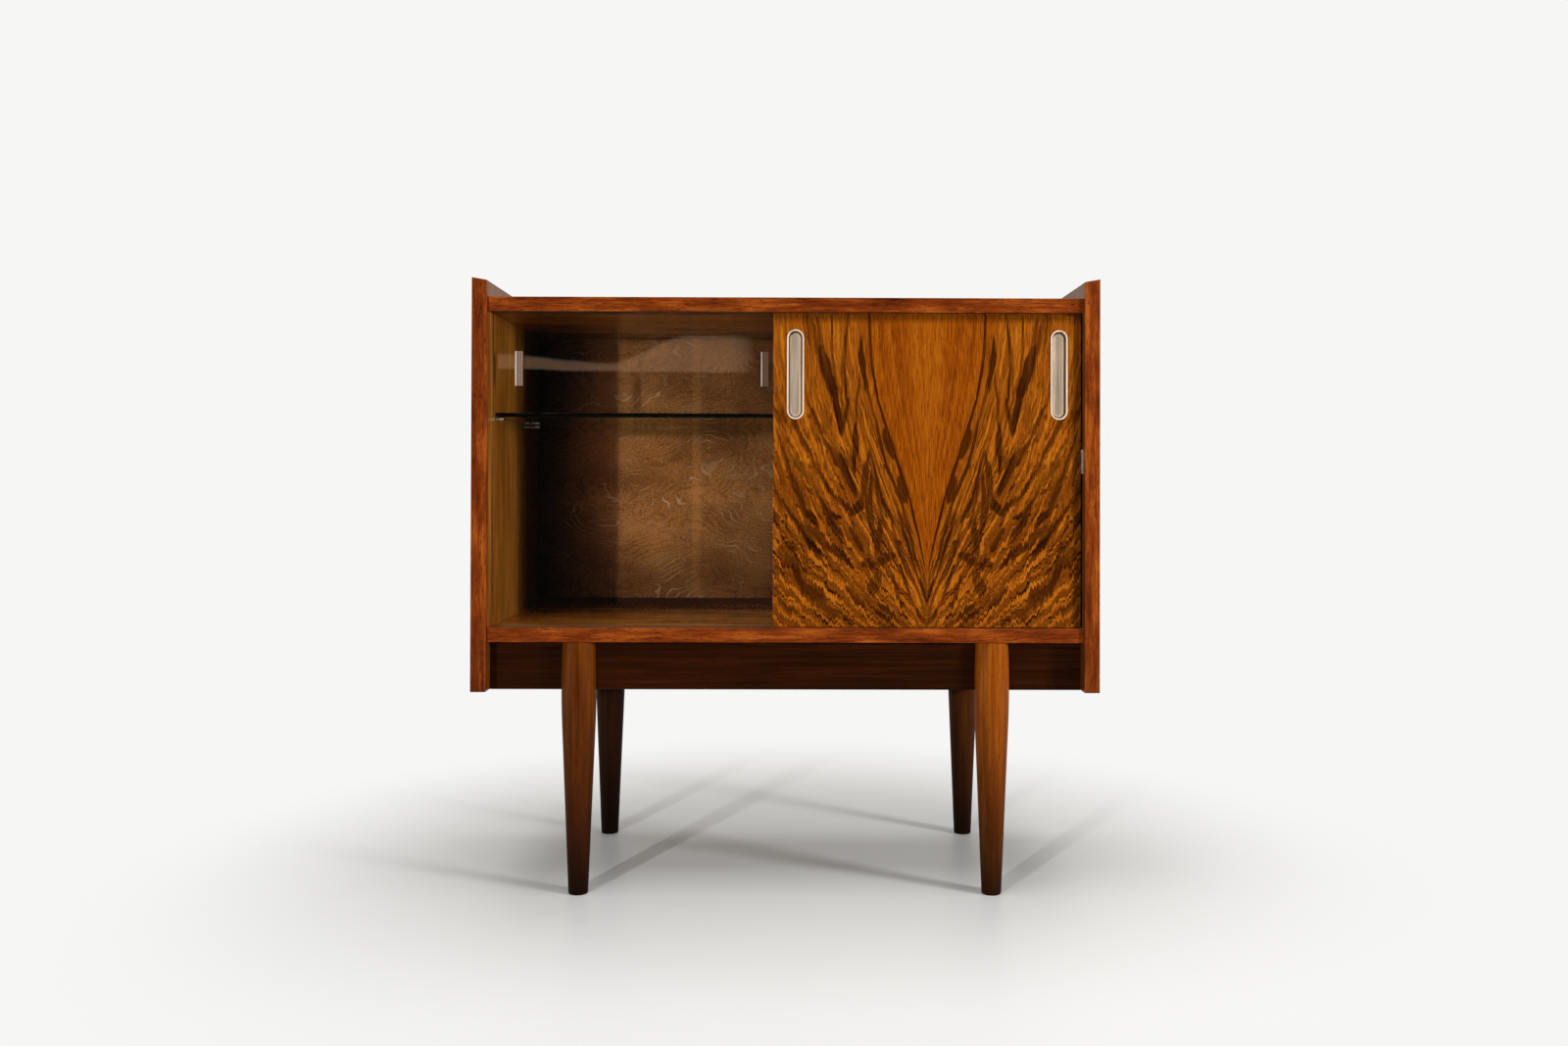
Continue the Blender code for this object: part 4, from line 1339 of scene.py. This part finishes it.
@dataclass
class Palette:
    """Every finish of the cabinet, made once."""

    made: dict[str, Material] = field(default_factory=dict)

    # Walnut veneer, knife-cut and lacquered: brown streaks with small dark pores under gloss
    outer_veneer: Wood = Wood("walnut_veneer", Grain.Z, "#42210b", "#6d3a14", "#8f5220", "#2b160a")
    # Paler veneer, knife-cut and hardly lacquered: straight and yellow-brown, without gloss, with painted
    # shade that darkens it towards the back of the cabinet
    inner_veneer: Wood = Wood(
        "pale_veneer", Grain.Z, "#5c2f0b", "#9c5915", "#d48a36", "#3e2009", streak=Stretch(6.0, 200.0),
        shades=(Shade(Grain.Y, 0.15, -0.06, 0.4),), lacquer=Lacquer(coat=0.06, coat_roughness=0.25))
    # Solid mahogany, planed and lacquered: red-brown with short dark pores under gloss, and painted shade on
    # the upright edges towards their foot, below the bottom board
    edge: Wood = Wood(
        "mahogany_edge", Grain.Z, "#3e1506", "#7d350e", "#b05a1c", "#220a04", streak=Stretch(4.0, 60.0),
        fibre=Stretch(1.8, 14.0), pore_share=0.85, cloud=Stretch(22.0, 80.0), cloud_share=0.42,
        shades=(Shade(Grain.Z, 0.27, 0.38, 0.62),), lacquer=Lacquer(coat=0.5))

    # The space inside, as sides and boards border it: half of its width, middle and half height
    side_inside: Triple = (0.3906, 0.558, 0.2195)
    board_inside: Triple = (1.0, 0.558, 0.2075)

    def finishes(self) -> dict[str, Finish]:
        """List the finishes.

        Returns:
            Finish of each kind of surface, by its key.
        """
        outer_x = self.outer_veneer.along_x("walnut_veneer_across")
        inner_x = self.inner_veneer.along_x("pale_veneer_across")
        return {
            "side": TwoFacedBoard("side_veneers", self.outer_veneer, self.inner_veneer, *self.side_inside),
            "board": TwoFacedBoard("board_veneers", outer_x, inner_x, *self.board_inside),
            "edge_upright": self.edge,
            "edge_across": self.edge.along_x("mahogany_edge_across"),
            # Figured walnut veneer, bookmatched and lacquered: dark mirrored lines under deep gloss
            "door": BookmatchedVeneer("bookmatched_walnut", joint_x=0.1849, head_z=0.7613),
            # Peeled and sanded plywood, left raw: wide swirls of growth lines and dull; inside, a painted
            # shadow on the left and painted shade to the right, low down and at the top, round a painted
            # pool of light
            "ply": RotaryPly("rotary_plywood", (
                Shade(Grain.X, -0.40, -0.25, 0.08), Shade(Grain.X, 0.0, -0.26, 0.42),
                Shade(Grain.Z, 0.36, 0.52, 0.42), Shade(Grain.Z, 0.70, 0.58, 0.62))),
            # Hardwood, stained and thinly lacquered: nearly black-brown with a weak gloss
            "apron": Wood("stained_apron", Grain.X, "#190802", "#291003", "#401a07", "#120602",
                          lacquer=Lacquer(coat=0.35)),
            # Hardwood, turned: long streaks and narrow highlights, with painted shade towards the foot, on
            # the left legs and on the back legs
            "leg": Wood("turned_hardwood", Grain.Z, "#5f2a07", "#8d440a", "#ae6210", "#331606",
                        streak=Stretch(6.0, 300.0), lacquer=Lacquer(coat=0.12, coat_roughness=0.1),
                        shades=(Shade(Grain.Z, -0.03, 0.31, 0.04), Shade(Grain.X, -0.1, 0.1, 0.5),
                                Shade(Grain.Y, 0.1, -0.1, 0.24))),
            # Beech, milled and left raw: pale, even and matt
            "dowel": Wood("raw_beech", Grain.X, "#b48d58", "#c9a46c", "#d8b782", "#9a7444",
                          lacquer=Lacquer(roughness=0.7, coat=0.0)),
            # Extruded plastic: dark, even and half matt, with some dust
            "channel": Plastic("extruded_plastic", "#24150c", "#6a5a48"),
            # Moulded plastic: pale, smooth and a little soiled
            "buffer": Plastic("moulded_plastic", "#c9c4ba", "#8f867a", 0.35),
            # Drawn sheet glass: clear, with reflections that wave a little
            "door_glass": FloatGlass("sheet_glass"),
            # Glass with a ground back and a cut edge: cloudy, with a painted highlight as one bright upright
            # line and painted shade beside it
            "grip": GroundGlass("ground_glass"),
            # Float glass: clear and flat on its face, and green through its edge
            "shelf_glass": FloatGlass("float_glass", tint="#6fb98e", depth=24.0, wave=0.0),
            # Aluminium, pressed and polished: a soft mirror, with painted shade on the cup's wall just
            # inside the rim
            "pull": Metal("polished_aluminium", "#ffecd8", 0.18, (500.0, 500.0, 25.0), metallic=0.3,
                          dim=0.42, relief=0.000005, cloud=(260.0, 110.0, 13.0), depths=(-0.1716, -0.1624),
                          tones=((0.0, "#ffffff"), (0.14, "#fff8f0"), (0.22, "#66564a"),
                                 (0.82, "#66564a"), (0.91, "#e4d2c2"), (1.0, "#fffaf0"))),
            # Steel, turned and plated: small bright highlights
            "pin": Metal("plated_steel", "#c9c6be", 0.25, (60.0, 900.0, 900.0)),
            # Steel, drawn and left bare: grey, and duller than the pins
            "screw": Metal("drawn_steel", "#9d988e", 0.35, (900.0, 900.0, 900.0)),
        }

    def prepare(self) -> None:
        """Make every material."""
        self.made = {key: finish.make() for key, finish in self.finishes().items()}

    def dress_nodes(self) -> None:
        """Give each CAD node that stays its finish."""
        for name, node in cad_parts.items():
            key = next(finish for start, finish in FINISH_OF if name.startswith(start))
            node.data.materials.clear()
            node.data.materials.append(self.made[key])
            LOG.info("%s: %s", name, key)


class Lamp(NamedTuple):
    """A square area lamp: its place and its side in metres, its power in watts, and its aim."""

    name: str
    place: Triple
    side: float
    power: float
    target: Triple = (0.0, 0.0, 0.5)
    through_glass: bool = True


@dataclass
class Studio:
    """Plain pale floor, soft light and the camera of the photograph."""

    # The floor for the eye, for gloss, and for spent rays, and how far out it fades to white
    floor_radius: float = 1.5
    floor_sides: int = 128
    floor_colour: str = "#f8f8f6"
    floor_dim: str = "#9a9a98"
    floor_spent: str = "#2c1c10"
    floor_roughness: float = 0.35
    floor_gloss: float = 0.35
    fade: tuple[float, float] = (0.35, 0.95)
    # Light that gloss finds: dim straight in front, brighter round that, and less behind
    front: Ramp = (-0.975, -0.85, 0.02, 1.2)
    behind: Ramp = (0.1, 0.5, 1.2, 0.45)
    sky: float = 0.03
    sky_tint: str = "#f8ead8"
    # A low strip of light in front: its foot, its top from left to right, and its right end
    strip_light: float = 0.95
    strip_tint: str = "#ffc79c"
    strip_foot: tuple[float, float] = (0.0795, 0.0815)
    strip_left: Ramp = (-0.222, -0.134, 0.0908, 0.085)
    strip_crest: Ramp = (-0.135, -0.078, 0.0, 0.021)
    strip_right: Ramp = (-0.046, -0.028, 1.0, 0.0)
    strip_waves: float = 30.0
    strip_wave: float = 0.004
    strip_soft: float = 0.003
    lamps: tuple[Lamp, ...] = (
        Lamp("key_lamp", (-1.48, -3.2, 0.8), 0.08, 60.0),
        # Glass doesn't show this lamp, which would glint in the pane's left edge
        Lamp("side_lamp", (2.6, -1.62, 0.75), 0.5, 74.0, through_glass=False),
        Lamp("top_lamp", (0.0, -0.3, 3.2), 2.6, 70.0, (0.0, -0.3, 0.0)),
        Lamp("back_lamp", (0.7, 3.0, 1.4), 1.6, 10.0))
    camera_place: Triple = (0.0102, -1.9322, 0.5433)
    yaw: float = math.radians(0.382)
    pitch: float = math.radians(0.404)
    roll: float = math.radians(0.160)
    sensor: float = 36.0
    lens: float = 30.88
    shift: tuple[float, float] = (-0.0120, -0.0327)

    def lay_floor(self) -> None:
        """Lay a wide matt floor that turns into the white background away from the cabinet."""
        deselect_all()
        bpy.ops.mesh.primitive_circle_add(vertices=self.floor_sides, radius=self.floor_radius,
                                          fill_type="NGON", location=(0.0, 0.0, 0.0))
        floor = bpy.context.object
        floor.name = "studio_floor"
        material = bpy.data.materials.new("pale_floor")
        material.use_nodes = True
        tree = material.node_tree
        add = partial(add_node, tree)
        shader = tree.nodes["Principled BSDF"]
        rays = sort_rays(tree)
        shown = add("Mix", {0: rays.eye, 6: linear(self.floor_dim), 7: linear(self.floor_colour)}, **RGBA)
        feed(tree, shader, {
            "Base Color": add("Mix", {0: rays.spent, 6: shown, 7: linear(self.floor_spent)}, **RGBA),
            "Roughness": self.floor_roughness, "Specular IOR Level": self.floor_gloss})
        away = add("VectorMath", (add("TexCoord", take="Object"),), "Value", operation="LENGTH")
        faded = add("MapRange", (away, *self.fade), interpolation_type="SMOOTHSTEP")
        white = add("Math", (faded, rays.eye), operation="MULTIPLY")
        glow = add("Emission", {"Color": linear(BACKGROUND), "Strength": 1.0})
        mixed = add("MixShader", (white, shader.outputs[0], glow))
        feed(tree, tree.nodes["Material Output"], {"Surface": mixed})
        floor.data.materials.append(material)

    def light_world(self) -> None:
        """A white background for the eye, a soft even sky for the light, dim surroundings for gloss."""
        world = bpy.data.worlds.new("studio")
        bpy.context.scene.world = world
        world.use_nodes = True
        tree = world.node_tree
        add = partial(add_node, tree)
        rays = sort_rays(tree)
        split = add("SeparateXYZ", (add("TexCoord", take="Generated"),)).node.outputs
        front = add("MapRange", (split["Y"], *self.front), interpolation_type="SMOOTHSTEP")
        gloss = add("Math", (front, add("MapRange", (split["Y"], *self.behind))), operation="MINIMUM")

        # The strip, whose top edge waves a little
        rise = add("MapRange", (split["Z"], *self.strip_foot))
        crest = add("MapRange", (split["X"], *self.strip_crest), interpolation_type="SMOOTHSTEP")
        wave = add("TexNoise", {"W": split["X"], "Scale": self.strip_waves, "Detail": 1.0},
                   noise_dimensions="1D")
        waved = add("Math", (wave, self.strip_wave, crest), operation="MULTIPLY_ADD")
        edge = add("Math", (waved, add("MapRange", (split["X"], *self.strip_left))), operation="ADD")
        under = add("Math", (edge, split["Z"]), operation="SUBTRACT")
        top = add("Math", (add("MapRange", (under, 0.0, self.strip_soft)),
                           add("MapRange", (split["X"], *self.strip_right))), operation="MULTIPLY")
        strip = add("Math", (rise, top), operation="MULTIPLY")
        bright = add("Math", (strip, self.strip_light), operation="MULTIPLY")
        gloss = add("Math", (gloss, bright), operation="MAXIMUM")

        mirrored = add("Mix", {0: rays.mirrored, 2: self.sky, 3: gloss})
        lit = add("Mix", {0: rays.spent, 2: mirrored, 3: 0.0})
        tint = add("Mix", {0: strip, 6: linear(self.sky_tint), 7: linear(self.strip_tint)}, **RGBA)
        feed(tree, tree.nodes["Background"], {
            "Color": add("Mix", {0: rays.mirrored, 6: linear(BACKGROUND), 7: tint}, **RGBA),
            "Strength": add("Mix", {0: rays.eye, 2: lit, 3: 1.0})})

    def add_lamp(self, lamp: Lamp) -> None:
        """Add a soft area lamp, which neither the eye nor gloss sees.

        Args:
            lamp: The lamp.
        """
        data = bpy.data.lights.new(lamp.name, "AREA")
        data.shape, data.size, data.energy = "SQUARE", lamp.side, lamp.power
        holder = bpy.data.objects.new(lamp.name, data)
        holder.location = lamp.place
        aim = Vector(lamp.target) - Vector(lamp.place)
        holder.rotation_euler = aim.to_track_quat("-Z", "Y").to_euler()
        holder.visible_camera = False
        holder.visible_glossy = False
        holder.visible_transmission = lamp.through_glass
        bpy.context.scene.collection.objects.link(holder)

    def set_camera(self) -> None:
        """Stand the camera where the photograph was taken from."""
        data = bpy.data.cameras.new("photo_camera")
        data.sensor_width = self.sensor
        data.lens = self.lens
        data.shift_x, data.shift_y = self.shift
        camera = bpy.data.objects.new("photo_camera", data)
        level = Vector((math.cos(self.yaw), -math.sin(self.yaw), 0.0))
        look = Vector((math.sin(self.yaw) * math.cos(self.pitch), math.cos(self.yaw) * math.cos(self.pitch),
                       math.sin(self.pitch)))
        upright = level.cross(look)
        right = level * math.cos(self.roll) + upright * math.sin(self.roll)
        up = upright * math.cos(self.roll) - level * math.sin(self.roll)
        turn = Matrix((right, up, -look)).transposed().to_4x4()
        camera.matrix_world = Matrix.Translation(self.camera_place) @ turn
        bpy.context.scene.collection.objects.link(camera)
        bpy.context.scene.camera = camera

    def build(self) -> None:
        """Set up floor, world, lamps, camera and view."""
        self.lay_floor()
        self.light_world()
        for lamp in self.lamps:
            self.add_lamp(lamp)
        self.set_camera()
        bpy.context.scene.view_settings.view_transform = "Standard"


def main() -> None:
    """Dress the CAD nodes, build the finer pieces and set up the studio."""
    logging.basicConfig(level=logging.INFO, format="%(message)s")
    palette = Palette()
    palette.prepare()
    palette.dress_nodes()
    TurnedLegs().build(palette.made["leg"])
    FingerPulls().build(palette.made["pull"])
    ShelfPins().build(palette.made["pin"])
    LegScrews().build(palette.made["screw"])
    BackNails().build(palette.made["screw"])
    Studio().build()


if __name__ == "__main__":
    main()
